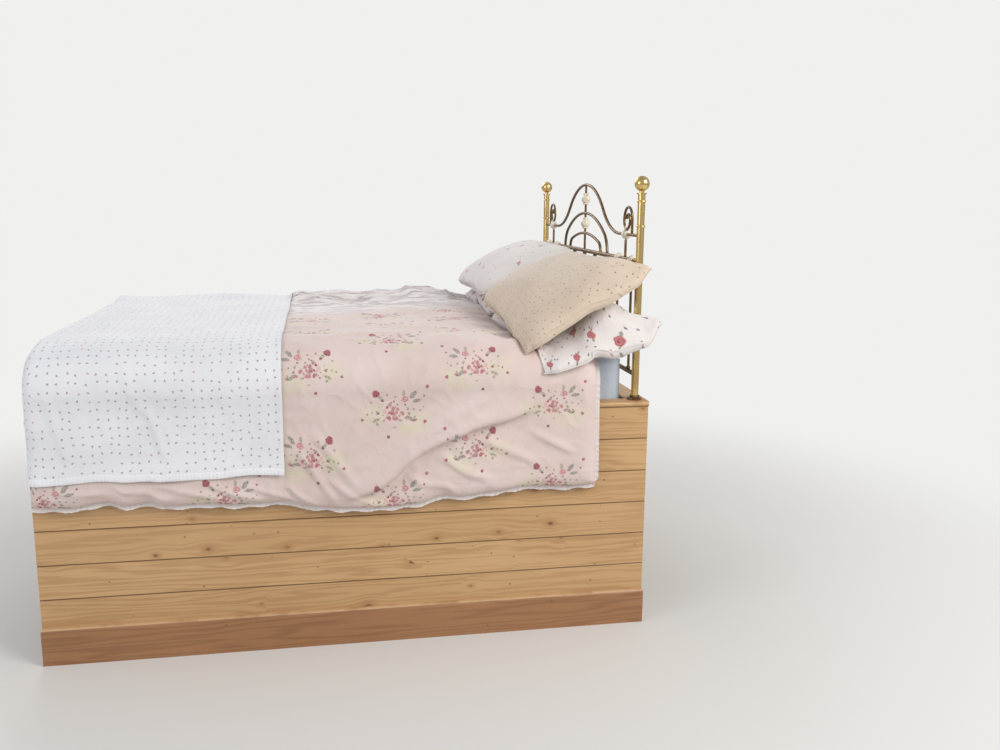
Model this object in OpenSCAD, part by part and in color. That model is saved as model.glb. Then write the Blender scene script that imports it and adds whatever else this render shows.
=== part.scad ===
// Built-in bed of a shepherd's hut: a boarded box with a slatted deck, its bedding and pillows,
// and a brass and iron bedhead. It fills the end of the hut from side wall to side wall.
// X runs along the bed towards its head, Y from the room to the end wall, and Z up from the floor.
// The origin is on the floor at the middle of everything.

/* [Bed box] */
// Length of the bed, from side wall to side wall
bed_l = 1980; // [1850:5:2150]
// Depth of the bed, from the face of its boards to the end wall
bed_d = 1420; // [1300:5:1550]
// Height of the slats' top face above the floor
deck_h = 730; // [700:5:760]
// Height of the boarded front above the slats, which keeps the mattress in
lip_h = 47; // [30:1:60]

/* [Boarding] */
// Height that one board covers
board_cover = 113; // [108:1:116]
// Thickness of a board
board_t = 15; // [12:1:20]
// Length of the tongue on a board's top edge
tongue_l = 6; // [4:1:8]
// Thickness of the tongue
tongue_t = 5; // [3:0.5:6]
// Play of the tongue in its groove
tongue_play = 0.3; // [0.2:0.1:0.6]
// Chamfer on a board's front edges, which makes the V joint
v_joint = 3; // [1:0.5:4]

/* [Plinth and capping] */
// Height of the plinth board
plinth_h = 120; // [105:1:160]
// Thickness of the plinth board
plinth_t = 20; // [15:1:30]
// Radius of the plinth's rounded top edge
plinth_r = 12; // [4:1:14]
// Thickness of the capping over the boards
cap_t = 18; // [14:1:25]
// How far the capping's rounded nose stands proud of the boards
cap_nose = 8; // [4:1:12]

/* [Frame timbers] */
// Height of the sole plate
sole_h = 45; // [35:1:60]
// Width of a stud along the bed
stud_w = 45; // [35:1:60]
// Depth of a stud and of the sole plate
stud_d = 35; // [30:1:45]
// Number of studs behind the boarded front
stud_count = 5; // [3:1:7]
// Thickness of the bearers and of the back ledger
bearer_t = 45; // [35:1:60]
// Height of the bearers and of the back ledger
bearer_h = 95; // [70:1:120]
// Width of a leg, both ways
leg_w = 45; // [35:1:60]
// Number of legs under the middle bearer, and under the back ledger
leg_count = 3; // [2:1:5]
// Width of the rail across the head, on which the bedhead stands
head_rail_w = 70; // [60:1:90]
// Diameter of the screw holes to the hut's walls
screw_d = 6; // [4:0.5:8]
// Distance of the outer screw holes from the middle of the back ledger
ledger_screw_x = 900; // [700:10:900]
// Distance of the inner screw holes from the middle of the back ledger
ledger_screw_inner_x = 300; // [200:10:400]
// Distance of the head rail's screw holes from the rail's middle
rail_screw_y = 450; // [300:10:550]
// Height of the lower screw hole in each end stud
stud_screw_low = 150; // [100:10:250]
// Height of the upper screw hole in each end stud
stud_screw_high = 550; // [450:10:600]

/* [Slats] */
// Number of slats
slat_count = 14; // [10:1:18]
// Width of a slat
slat_w = 70; // [50:1:95]
// Thickness of a slat
slat_t = 18; // [15:1:25]

/* [Mattress and sheet] */
// Thickness of the mattress
mattress_h = 200; // [150:5:240]
// Play between the mattress and the timber round it
mattress_gap = 5; // [4:1:15]
// Play between the mattress and the end wall
wall_gap = 15; // [5:1:30]
// Radius of the mattress's upright corners
mattress_r = 60; // [20:5:100]
// Thickness of the fitted sheet
sheet_t = 2; // [1:0.5:3]
// How far the fitted sheet reaches down the mattress
sheet_drop = 170; // [100:5:190]

/* [Duvet] */
// Loft of the duvet over the middle of the bed
duvet_loft = 88; // [50:1:120]
// Loft of the duvet where it hangs down the front
drape_loft = 34; // [20:1:45]
// Height of the duvet's hem above the floor
duvet_hem_h = 506; // [450:1:650]
// Distance of the duvet's upper end from the head wall
duvet_end = 190; // [120:5:400]
// How far the duvet's hem stands away from the boards
hem_flare = 12; // [5:1:20]
// Thickness of the duvet's sewn edge
edge_t = 8; // [4:1:12]
// Depth of the soft folds in the hanging duvet
fold_deep = 5; // [0:1:8]
// Distance from one such fold to the next
fold_pitch = 430; // [250:10:600]
// Rise and fall of the duvet's hem
hem_wave = 7; // [0:1:12]
// Height of the bunched edge along the end wall
far_roll = 22; // [0:1:40]

/* [Throw] */
// Length of bed that the throw covers, from the foot
throw_l = 765; // [400:5:900]
// Thickness of the throw
throw_t = 8; // [4:1:12]
// Height of the throw's hem above the floor
throw_hem_h = 610; // [560:1:700]

/* [Pillows] */
// How far a pillow's edges pull in between its corners, as a share of its half size
pillow_pinch = 0.1; // [0:0.01:0.15]

/* [Bedhead] */
// Distance between the middles of the two posts
bedhead_w = 1355; // [1200:5:1355]
// Distance of the bedhead's middle plane from the head wall
bedhead_back = 38; // [30:1:45]
// Distance of the far post's middle from the end wall
post_back = 27; // [26:1:40]
// Diameter of a brass post
post_d = 25; // [19:1:32]
// Height of the posts above the capping, below their knobs
post_l = 691; // [660:1:740]
// Diameter of a knob
knob_d = 50; // [40:1:56]
// Diameter of a post's foot flange
flange_d = 50; // [40:1:52]
// Diameter of the straight rails
rail_d = 16; // [12:1:19]
// Diameter of the arch rods
arch_d = 11; // [8:0.5:12]
// Diameter of the spindles
spindle_d = 9; // [7:0.5:10]
// Height of the bottom rail above the capping
bottom_rail_up = 85; // [65:1:140]
// Height of the middle rail above the capping
mid_rail_up = 470; // [440:1:480]
// Height of the outer arch's shoulders above the middle rail
shoulder_up = 85; // [75:1:100]
// Height of the outer arch's crown above its shoulders
crown_up = 175; // [155:1:200]
// Distance from the middle to where the outer arch leaves its shoulder
shoulder_a = 450; // [430:1:470]
// Radius of the outer arch's crown
crown_r = 360; // [320:1:400]
// Half span of the large inner arch
inner_a = 310; // [280:1:340]
// Height of the large inner arch's crown above the middle rail
inner_up = 149; // [130:1:160]
// Half span of the small inner arch
small_a = 225; // [190:1:240]
// Height of the small inner arch's crown above the middle rail
small_up = 70; // [60:1:80]
// Distance from one lower spindle to the next
spindle_pitch = 150; // [130:1:160]
// Distance from the middle to each side strut
strut_a = 525; // [500:1:550]
// Distance from the middle to the stem of each scroll
scroll_a = 590; // [575:1:610]
// Radius of a scroll's outer turn
scroll_r = 44; // [36:1:48]
// Diameter of the bead at a scroll's tip
scroll_bead_d = 15; // [11:1:18]
// Radius of the haunches of the large inner arch
inner_haunch_r = 90; // [60:1:120]
// Radius of the haunches of the small inner arch
small_haunch_r = 44; // [30:1:60]
// Diameter of a cast knuckle
knuckle_d = 36; // [28:1:42]
// Length of a cast knuckle along its rod
knuckle_l = 44; // [36:1:52]
// Thickness of a knuckle's sleeve
knuckle_wall = 3; // [2:0.5:5]

/* [Hidden] */

$fn = 48;
eps = 0.01;

// Colours, as the real bed shows them
pine = [0.78, 0.60, 0.40];
plinth_pine = [0.66, 0.46, 0.29];
frame_pine = [0.83, 0.70, 0.50];
ticking = [0.90, 0.88, 0.83];
sheet_blue = [0.74, 0.77, 0.80];
duvet_pink = [0.84, 0.74, 0.71];
throw_white = [0.86, 0.86, 0.88];
pillow_cream = [0.85, 0.82, 0.75];
pillow_white = [0.88, 0.86, 0.85];
brass = [0.80, 0.66, 0.35];
bronze = [0.27, 0.23, 0.18];
cream = [0.88, 0.85, 0.76];

// Heights
front_h = deck_h + lip_h;
full_boards = 6;
first_board_h = front_h - full_boards * board_cover;
cap_top = front_h + cap_t;
bearer_top = deck_h - slat_t;
bearer_low = bearer_top - bearer_h;
mattress_top = deck_h + mattress_h;
skin_gap = 0.3;
sheet_top = mattress_top + skin_gap + sheet_t;

// Depths, from the front of the bedding to the end wall
drape_gap = 2;
bedding_out = cap_nose + drape_gap + drape_loft + hem_flare + throw_t;
wall_y = (bed_d + bedding_out) / 2;
front_y = wall_y - bed_d;
stud_y = front_y + board_t;
deck_y = stud_y + stud_d;
middle_y = (deck_y + wall_y - bearer_t) / 2;

// Lengths
foot_x = -bed_l / 2;
head_x = bed_l / 2;
head_rail_x = head_x - head_rail_w;
mattress_l = head_rail_x - foot_x - 2 * mattress_gap;
mattress_d = wall_y - wall_gap - deck_y - mattress_gap;

// Bedhead
bedhead_x = head_x - bedhead_back;
bedhead_y = wall_y - post_back - bedhead_w / 2;
post_a = bedhead_w / 2;
post_h = cap_top + post_l;
bottom_rail_h = cap_top + bottom_rail_up;
mid_rail_h = cap_top + mid_rail_up;
shoulder_h = mid_rail_h + shoulder_up;
crown_h = shoulder_h + crown_up;
inner_h = mid_rail_h + inner_up;
small_h = mid_rail_h + small_up;
flange_h = 14;

// Gives n places spread evenly from one value to another
function spread(n, from, to) = [for (i = [0:n - 1]) from + (to - from) * i / (n - 1)];

// Rises smoothly from 0 to 1 as t does
function smooth(t) = let(c = min(1, max(0, t))) c * c * (3 - 2 * c);

// Rises from 0 to 1 over a distance w from an edge, as a rounded edge does
function rounded(d, w) = let(c = min(1, max(0, d / w))) sqrt(1 - (1 - c) * (1 - c));

// Lays a flat outline, drawn as depth across and height up, along the whole bed
module along_bed(from = foot_x, to = head_x) {
    translate([from, 0, 0])
        rotate([90, 0, 90])
            linear_extrude(height = to - from)
                children();
}

// The boarded front

// The end view of one board from its lower shoulder to its upper one, with its front face at 0
module board_outline(low, high, grooved, tongued) {
    mid = board_t / 2;
    groove_half = tongue_t / 2 + tongue_play;
    low_v = grooved ? v_joint : 0;
    high_v = tongued ? v_joint : 0;
    difference() {
        polygon([
            [0, low + low_v], [low_v, low], [board_t, low], [board_t, high], [high_v, high],
            [0, high - high_v]
        ]);
        if (grooved)
            translate([mid - groove_half, low - eps])
                square([2 * groove_half, tongue_l + tongue_play + eps]);
    }
    if (tongued)
        translate([mid - tongue_t / 2, high - eps])
            square([tongue_t, tongue_l + eps]);
}

// Board number n, counted up from the floor: the first is ripped to fit
module front_board(n) {
    low = n == 1 ? 0 : first_board_h + (n - 2) * board_cover;
    high = first_board_h + (n - 1) * board_cover;
    color(pine)
        translate([0, front_y, 0])
            along_bed()
                board_outline(low, high, n > 1, n <= full_boards);
}

module plinth_board() {
    color(plinth_pine)
        translate([0, front_y - plinth_t, 0])
            along_bed()
                intersection() {
                    square([plinth_t, plinth_h]);
                    union() {
                        square([plinth_t, plinth_h - plinth_r]);
                        translate([plinth_r, 0])
                            square([plinth_t, plinth_h]);
                        translate([plinth_r, plinth_h - plinth_r])
                            circle(r = plinth_r);
                    }
                }
}

// The capping lies on the boards and the studs, with a rounded nose to the room
module capping() {
    nose_r = cap_t / 2;
    color(pine)
        translate([0, front_y - cap_nose, front_h])
            along_bed()
                union() {
                    translate([nose_r, 0])
                        square([cap_nose + board_t + stud_d - nose_r, cap_t]);
                    translate([nose_r, nose_r])
                        circle(r = nose_r);
                }
}

// The frame behind the boards

module sole_plate() {
    color(frame_pine)
        translate([foot_x, stud_y, 0])
            cube([bed_l, stud_d, sole_h]);
}

// The two end studs are drilled for screws to the side walls
module front_studs() {
    ends = [foot_x, head_x - stud_w];
    color(frame_pine)
        difference() {
            for (x = spread(stud_count, foot_x, head_x - stud_w))
                translate([x, stud_y, sole_h])
                    cube([stud_w, stud_d, front_h - sole_h]);
            for (x = ends, z = [stud_screw_low, stud_screw_high])
                translate([x - eps, stud_y + stud_d / 2, z])
                    rotate([0, 90, 0])
                        cylinder(d = screw_d, h = stud_w + 2 * eps);
        }
}

// A bearer along the whole bed, on edge, with its front face at y
module bearer(y) {
    translate([foot_x, y, bearer_low])
        cube([bed_l, bearer_t, bearer_h]);
}

// A row of legs under a bearer whose front face is at y
module legs(y) {
    for (x = spread(leg_count, foot_x, head_x - leg_w))
        translate([x, y + (bearer_t - leg_w) / 2, 0])
            cube([leg_w, leg_w, bearer_low]);
}

module front_bearer() {
    color(frame_pine)
        bearer(deck_y);
}

module middle_bearer() {
    color(frame_pine)
        bearer(middle_y);
}

module middle_legs() {
    color(frame_pine)
        legs(middle_y);
}

// The ledger is screwed to the end wall
module back_ledger() {
    color(frame_pine)
        difference() {
            bearer(wall_y - bearer_t);
            for (x = [-ledger_screw_x, -ledger_screw_inner_x, ledger_screw_inner_x, ledger_screw_x])
                translate([x, wall_y + eps, bearer_low + bearer_h / 2])
                    rotate([90, 0, 0])
                        cylinder(d = screw_d, h = bearer_t + 2 * eps);
        }
}

module back_legs() {
    color(frame_pine)
        translate([0, (bearer_t - leg_w) / 2, 0])
            legs(wall_y - bearer_t);
}

// The rail across the head lies on the bearers, level with the capping, and is screwed to the wall
module head_rail() {
    color(frame_pine)
        difference() {
            translate([head_rail_x, deck_y, bearer_top])
                cube([head_rail_w, wall_y - deck_y, cap_top - bearer_top]);
            for (side = [-1, 1])
                translate([head_rail_x - eps, (deck_y + wall_y) / 2 + side * rail_screw_y,
                        (bearer_top + cap_top) / 2])
                    rotate([0, 90, 0])
                        cylinder(d = screw_d, h = head_rail_w + 2 * eps);
        }
}

module slats() {
    color(frame_pine)
        for (x = spread(slat_count, foot_x, head_rail_x - slat_w - mattress_gap))
            translate([x, deck_y, bearer_top])
                cube([slat_w, wall_y - deck_y, slat_t]);
}

// The mattress and its sheet

// A flat rectangle with round corners, grown outwards by g
module mattress_outline(g) {
    r = mattress_r + g;
    l = mattress_l + 2 * g;
    d = mattress_d + 2 * g;
    translate([foot_x + mattress_gap - g, deck_y + mattress_gap - g]) {
        translate([r, 0])
            square([l - 2 * r, d]);
        translate([0, r])
            square([l, d - 2 * r]);
        for (x = [r, l - r], y = [r, d - r])
            translate([x, y])
                circle(r = r);
    }
}

module mattress() {
    color(ticking)
        translate([0, 0, deck_h])
            linear_extrude(height = mattress_h)
                mattress_outline(0);
}

module fitted_sheet() {
    color(sheet_blue)
        difference() {
            translate([0, 0, mattress_top - sheet_drop])
                linear_extrude(height = sheet_drop + skin_gap + sheet_t)
                    mattress_outline(skin_gap + sheet_t);
            translate([0, 0, mattress_top - sheet_drop - eps])
                linear_extrude(height = sheet_drop + skin_gap + eps)
                    mattress_outline(skin_gap);
        }
}

// The covers
//
// A cover is a sheet of cloth that lies on the bed and hangs down its front. A place in it is
// given by x and by u, the way from its far edge over the bed's front edge to its hem. It lies on
// a smooth bed: the sheet's top, a quarter circle over the front edge, and the front.

lie_h = sheet_top + skin_gap;
turn_y = deck_y + mattress_gap - skin_gap - sheet_t;
hang_y = front_y - cap_nose - drape_gap;
turn_r = turn_y - hang_y;
turn_h = lie_h - turn_r;
far_y = wall_y - wall_gap;
flat_u = far_y - turn_y;
turn_u = turn_r * PI / 2;
hem_u = flat_u + turn_u + turn_h - duvet_hem_h;
throw_u = flat_u + turn_u + turn_h - throw_hem_h;
cover_foot = foot_x + mattress_gap;
cover_head = head_x - duvet_end;
throw_end = foot_x + throw_l;

// Where the hanging cloth stands away from the front, from 0 at the turn to the full flare low down
function flare(x, u) =
    let(down = smooth((u - flat_u - turn_u) / (hem_u - flat_u - turn_u)))
    down * (hem_flare - fold_deep + fold_deep * cos(360 * x / fold_pitch));

// How much the hem rises and falls
hem_pitch = 570;
hem_start = 40;
function hem_drop(x, u) =
    smooth((u - throw_u) / (hem_u - throw_u)) * hem_wave * sin(360 * x / hem_pitch + hem_start);

// A place in a cover that is a distance off above the smooth bed
function cover_point(x, u, off) =
    u <= flat_u ? [x, far_y - u, lie_h + off] :
    u <= flat_u + turn_u ?
        let(a = (u - flat_u) / turn_r * 180 / PI)
        [x, turn_y - (turn_r + off) * sin(a), turn_h + (turn_r + off) * cos(a)] :
    [x, hang_y - off - flare(x, u), turn_h - (u - flat_u - turn_u) - hem_drop(x, u)];

// Widths over which the loft thins out: to the turn, to the far edge, the hem, the foot and the head
turn_ease = 80;
far_ease = 70;
hem_ease = 60;
foot_ease = 40;
head_ease = 60;
// Depth of the soft puffs in the duvet, and their pitch along and across the bed
puff_deep = 5;
puff_pitch_x = 610;
puff_pitch_u = 540;
// Where the bunched far edge is highest, and the width over which it falls again
roll_u = 60;
roll_fall = 160;
// How much the pillows press the loft down, from where and over what length
press_share = 0.62;
press_back = 420;
press_l = 300;

// The loft of the duvet: full on the bed, less where it hangs and under the pillows, with round edges
function duvet_thick(x, u) =
    let(
        hang = smooth((u - flat_u + turn_ease) / (turn_u + 2 * turn_ease)),
        full = duvet_loft + (drape_loft - duvet_loft) * hang,
        puff = (1 - hang) * puff_deep * sin(360 * x / puff_pitch_x + 30)
            * sin(360 * u / puff_pitch_u + 60),
        roll = far_roll * smooth(u / roll_u) * (1 - smooth((u - roll_u) / roll_fall)),
        pressed = 1 - press_share * (1 - hang) * smooth((x - cover_head + press_back) / press_l),
        edge = min(rounded(u, far_ease), rounded(hem_u - u, hem_ease),
            rounded(x - cover_foot, foot_ease), rounded(cover_head - x, head_ease))
    )
    edge_t + (full * pressed + puff + roll - edge_t) * edge;

// Joins two grids of points, one above the other, into a closed sheet
module sheet_solid(upper, lower) {
    rows = len(upper);
    cols = len(upper[0]);
    all = rows * cols;
    points = concat([for (row = upper) each row], [for (row = lower) each row]);
    function at(i, j) = i * cols + j;
    top = [for (i = [0:rows - 2], j = [0:cols - 2]) each [
        [at(i, j), at(i, j + 1), at(i + 1, j + 1)],
        [at(i, j), at(i + 1, j + 1), at(i + 1, j)]
    ]];
    under = [for (f = top) [f[2] + all, f[1] + all, f[0] + all]];
    rim = concat(
        [for (j = [0:cols - 2]) at(0, j)],
        [for (i = [0:rows - 2]) at(i, cols - 1)],
        [for (j = [cols - 1:-1:1]) at(rows - 1, j)],
        [for (i = [rows - 1:-1:1]) at(i, 0)]
    );
    count = len(rim);
    sides = [for (k = [0:count - 1]) let(a = rim[k], b = rim[(k + 1) % count]) each [
        [b, a, a + all],
        [b, a + all, b + all]
    ]];
    polyhedron(points = points, faces = concat(top, under, sides), convexity = 6);
}

// Places along and across the covers, closer together at edges and over the turn
throw_xs = [
    cover_foot, cover_foot + 12, cover_foot + 40,
    each [for (t = [0.16:0.14:0.86]) cover_foot + t * (throw_end - cover_foot)],
    throw_end
];
duvet_xs = [
    each throw_xs,
    each [for (t = [0.09:0.091:0.92]) throw_end + t * (cover_head - throw_end)],
    cover_head - 22, cover_head
];
throw_us = [
    0, 20, 60,
    each [for (t = [0.12:0.11:0.9]) t * flat_u],
    flat_u - 40,
    each [for (t = [0:0.2:1]) flat_u + t * turn_u],
    each [for (t = [0.25:0.25:1]) flat_u + turn_u + t * (throw_u - flat_u - turn_u)]
];
duvet_us = [each throw_us, (throw_u + hem_u) / 2, hem_u - 16, hem_u];

module duvet() {
    color(duvet_pink)
        sheet_solid(
            [for (u = duvet_us) [for (x = duvet_xs) cover_point(x, u, duvet_thick(x, u))]],
            [for (u = duvet_us) [for (x = duvet_xs) cover_point(x, u, 0)]]
        );
}

module throw() {
    function lift(x, u, t) = duvet_thick(x, u) + skin_gap + t;
    color(throw_white)
        sheet_solid(
            [for (u = throw_us) [for (x = throw_xs) cover_point(x, u, lift(x, u, throw_t))]],
            [for (u = throw_us) [for (x = throw_xs) cover_point(x, u, lift(x, u, 0))]]
        );
}

// The pillows
//
// A pillow is given by its four corners, as distances from the bedhead's plane, from the boards'
// face and above the sheet: low far, low near, high near, high far. Its top swells by one height
// and its underside by another.

near_upper = [[-430, 685, 145], [-405, -25, 55], [-12, -55, 295], [-30, 685, 317]];
near_lower = [[-400, 690, 74.5], [-345, -8, 42.5], [-25, -22, 154.5], [-30, 690, 169.5]];
far_upper = [[-430, 1385, 150], [-425, 705, 155], [-30, 705, 325], [-30, 1390, 325]];
far_lower = [[-400, 1388, 77], [-390, 712, 77], [-30, 712, 172], [-30, 1390, 172]];
pillow_steps = 12;
// How far the pillows swell: above and below their middle sheet
upper_swell = [84, 34];
near_lower_swell = [52, 34];
far_lower_swell = [75, 34];
// How square the swell is along a pillow and across it: the less, the squarer
square_along = 0.36;
square_across = 0.45;

function pillow_corner(c) = [bedhead_x + c[0], front_y + c[1], sheet_top + c[2]];

// A place on a pillow's middle sheet: s runs along it and t across it, both from -1 to 1
function pillow_mid(k, s, t) =
    let(
        p = s * (1 - pillow_pinch * (1 - t * t)),
        q = t * (1 - pillow_pinch * (1 - s * s)),
        low = k[0] * (1 - p) / 2 + k[1] * (1 + p) / 2,
        high = k[3] * (1 - p) / 2 + k[2] * (1 + p) / 2
    )
    low * (1 - q) / 2 + high * (1 + q) / 2;

module pillow(corners, swell) {
    k = [for (c = corners) pillow_corner(c)];
    n = pillow_steps;
    across = k[2] + k[3] - k[0] - k[1];
    along = k[1] + k[2] - k[0] - k[3];
    face = cross(along, across);
    up = face / norm(face);
    steps = [for (i = [0:n]) -cos(180 * i / n)];
    function fat(s, t) =
        pow(max(0, 1 - s * s), square_along) * pow(max(0, 1 - t * t), square_across);
    function at(i, j) = i * (n + 1) + j;
    function under(i, j) =
        i == 0 || j == 0 || i == n || j == n ? at(i, j) : (n + 1) * (n + 1) + (i - 1) * (n - 1) + j - 1;
    crown = [for (s = steps, t = steps) pillow_mid(k, s, t) + up * swell[0] * fat(s, t)];
    belly = [for (i = [1:n - 1], j = [1:n - 1])
        pillow_mid(k, steps[i], steps[j]) - up * swell[1] * fat(steps[i], steps[j])];
    // Two corner cells are cut the other way, so that no facet has all its corners on the seam
    function turned(i, j) = i == 0 && j == n - 1 || i == n - 1 && j == 0;
    function facets(a, b, c, d, other) = other ? [[a, b, d], [b, c, d]] : [[a, b, c], [a, c, d]];
    crown_faces = [for (i = [0:n - 1], j = [0:n - 1])
        each facets(at(i, j), at(i, j + 1), at(i + 1, j + 1), at(i + 1, j), turned(i, j))];
    belly_faces = [for (i = [0:n - 1], j = [0:n - 1])
        each facets(under(i, j), under(i + 1, j), under(i + 1, j + 1), under(i, j + 1), turned(i, j))];
    polyhedron(points = concat(crown, belly), faces = concat(crown_faces, belly_faces), convexity = 4);
}

module pillow_near_lower() {
    color(pillow_white)
        pillow(near_lower, near_lower_swell);
}

module pillow_near_upper() {
    color(pillow_cream)
        pillow(near_upper, upper_swell);
}

module pillow_far_lower() {
    color(pillow_white)
        pillow(far_lower, far_lower_swell);
}

module pillow_far_upper() {
    color(pillow_white)
        pillow(far_upper, upper_swell);
}

// The bedhead
//
// It stands in a plane across the bed. A place in it is given by a, its distance from the middle
// along Y, and by its height.

// Lays a form drawn in the plane of a and height into the bedhead, with its thickness along X
module in_bedhead() {
    translate([bedhead_x, bedhead_y, 0])
        rotate([90, 0, 90])
            children();
}

// A straight rod from one place to another in the bedhead's plane
module rod(from, to, d) {
    run = to - from;
    translate([from[0], from[1], 0])
        rotate([0, 0, atan2(run[1], run[0])])
            rotate([0, 90, 0])
                cylinder(d = d, h = norm(run));
}

// The places along an arc, from one angle through a sweep, in n steps
function arc(centre, r, start, sweep, n) =
    [for (i = [0:n]) let(angle = start + sweep * i / n) centre + r * [cos(angle), sin(angle)]];

// The same path from the other side of the bedhead's middle, so that the two halves join
function mirrored(path) = [for (i = [len(path) - 1:-1:0]) [-path[i][0], path[i][1]]];

// A path without the places that repeat the one before
function joined(path) =
    [for (i = [0:len(path) - 1]) if (i == 0 || norm(path[i] - path[i - 1]) > eps) path[i]];

// A round rod bent along a path in the bedhead's plane, with square-cut ends
module bent_rod(path, d) {
    sides = 10;
    way = joined(path);
    last = len(way) - 1;
    rings = [for (i = [0:last])
        let(
            run = way[min(i + 1, last)] - way[max(i - 1, 0)],
            out = [-run[1], run[0]] / norm(run)
        )
        each [for (k = [0:sides - 1])
            let(side = d / 2 * cos(360 * k / sides), deep = d / 2 * sin(360 * k / sides))
            [way[i][0] + out[0] * side, way[i][1] + out[1] * side, deep]]];
    walls = [for (i = [0:last - 1], k = [0:sides - 1])
        let(next = (k + 1) % sides, low = i * sides, high = low + sides)
        each [[low + k, high + next, low + next], [low + k, high + k, high + next]]];
    start_cap = [for (k = [0:sides - 1]) k];
    end_cap = [for (k = [sides - 1:-1:0]) last * sides + k];
    polyhedron(points = rings, faces = concat(walls, [start_cap, end_cap]), convexity = 8);
}

module post(a) {
    translate([bedhead_x, bedhead_y + a, cap_top + flange_h / 2])
        cylinder(d = post_d, h = post_h - cap_top - flange_h / 2);
}

// The turned rings on a post, one above the arch's shoulder and one below the knob
module post_rings(a) {
    ring_t = 7;
    ring_out = 3;
    ring_up = 28;
    top_ring_down = 26;
    for (z = [shoulder_h + ring_up, post_h - top_ring_down])
        translate([bedhead_x, bedhead_y + a, z])
            rotate_extrude()
                union() {
                    square([post_d / 2 + ring_out - ring_t / 2, ring_t]);
                    translate([post_d / 2 + ring_out - ring_t / 2, ring_t / 2])
                        circle(d = ring_t, $fn = 24);
                }
}

module bedhead_post(a) {
    color(brass)
        union() {
            post(a);
            post_rings(a);
        }
}

module bedhead_post_near() {
    bedhead_post(-post_a);
}

module bedhead_post_far() {
    bedhead_post(post_a);
}

// A ball on a short turned neck and a disc that caps the post
module bedhead_knob(a) {
    disc_t = 5;
    disc_out = 4;
    neck_d = 16;
    neck_h = 5;
    color(brass)
        translate([bedhead_x, bedhead_y + a, post_h])
            union() {
                cylinder(d = post_d + 2 * disc_out, h = disc_t);
                cylinder(d = neck_d, h = disc_t + neck_h + knob_d / 4);
                translate([0, 0, disc_t + neck_h + knob_d / 2])
                    sphere(d = knob_d);
            }
}

module bedhead_knob_near() {
    bedhead_knob(-post_a);
}

module bedhead_knob_far() {
    bedhead_knob(post_a);
}

// A cast foot: a flange on the timber and a socket that the post stands in
module bedhead_flange(a) {
    plate_t = 5;
    socket_wall = 4;
    color(bronze)
        translate([bedhead_x, bedhead_y + a, cap_top])
            difference() {
                union() {
                    cylinder(d = flange_d, h = plate_t);
                    cylinder(d = post_d + 2 * socket_wall, h = flange_h);
                }
                translate([0, 0, flange_h / 2])
                    cylinder(d = post_d, h = flange_h);
            }
}

module bedhead_flange_near() {
    bedhead_flange(-post_a);
}

module bedhead_flange_far() {
    bedhead_flange(post_a);
}

// A straight rail between the posts, hollowed at its ends to fit them
module rail(h) {
    difference() {
        in_bedhead()
            rod([-post_a, h], [post_a, h], rail_d);
        post(-post_a);
        post(post_a);
    }
}

module bedhead_bottom_rail() {
    color(bronze)
        rail(bottom_rail_h);
}

module bedhead_middle_rail() {
    color(bronze)
        rail(mid_rail_h);
}

// The outer arch runs flat along its shoulders, sweeps up and turns over the crown. The sweep's
// angle and radius follow from the rise and from the crown's radius.
arch_turn = 2 * atan2(crown_up, shoulder_a);
sweep_r = shoulder_a / sin(arch_turn) - crown_r;

module outer_arch_rod() {
    half = [
        [post_a, shoulder_h],
        each arc([shoulder_a, shoulder_h + sweep_r], sweep_r, 270, -arch_turn, 9),
        each arc([0, crown_h - crown_r], crown_r, 90 - arch_turn, arch_turn, 10)
    ];
    bent_rod([each half, each mirrored(half)], arch_d);
}

module bedhead_outer_arch() {
    color(bronze)
        difference() {
            in_bedhead()
                outer_arch_rod();
            post(-post_a);
            post(post_a);
        }
}

// A basket arch on the middle rail. Its two haunches have the radius haunch_r, and its crown has
// the radius that makes one smooth curve of half span a and height h.
module basket_arch(a, h, haunch_r) {
    rise = h - mid_rail_h;
    run = a - haunch_r;
    top_r = (run * run + rise * rise - haunch_r * haunch_r) / (2 * (rise - haunch_r));
    haunch = atan2(top_r - rise, run);
    half = [
        each arc([run, mid_rail_h], haunch_r, 0, haunch, 7),
        each arc([0, h - top_r], top_r, haunch, 90 - haunch, 9)
    ];
    bent_rod([each half, each mirrored(half)], arch_d);
}

module inner_arch_rod() {
    basket_arch(inner_a, inner_h, inner_haunch_r);
}

module small_arch_rod() {
    basket_arch(small_a, small_h, small_haunch_r);
}

// Hollows the ends of what stands on a rail at height h, so that they fit round it
module off_rail(h) {
    difference() {
        children();
        rod([-post_a, h], [post_a, h], rail_d);
    }
}

module bedhead_inner_arch() {
    color(bronze)
        in_bedhead()
            off_rail(mid_rail_h)
                inner_arch_rod();
}

module bedhead_small_arch() {
    color(bronze)
        in_bedhead()
            off_rail(mid_rail_h)
                small_arch_rod();
}

// A crook on each shoulder: a stem that turns over towards the middle and curls in to a bead
module scroll(side) {
    stem_top = shoulder_h + arch_d / 2 + scroll_r;
    curl_share = 0.72;
    inner_share = 0.45;
    last_turn = 150;
    curl_r = scroll_r * curl_share;
    inner_r = scroll_r * inner_share;
    first = [scroll_a - scroll_r, stem_top];
    second = [first[0] - scroll_r + curl_r, stem_top];
    third = [second[0] + curl_r - inner_r, stem_top];
    way = [
        [scroll_a, shoulder_h + arch_d / 2],
        each arc(first, scroll_r, 0, 180, 12),
        each arc(second, curl_r, 180, 180, 10),
        each arc(third, inner_r, 0, last_turn, 7)
    ];
    tip = way[len(way) - 1];
    bent_rod(side > 0 ? way : mirrored(way), spindle_d);
    translate([side * tip[0], tip[1], 0])
        sphere(d = scroll_bead_d);
}

module bedhead_scrolls() {
    color(bronze)
        in_bedhead()
            for (side = [-1, 1])
                scroll(side);
}

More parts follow.
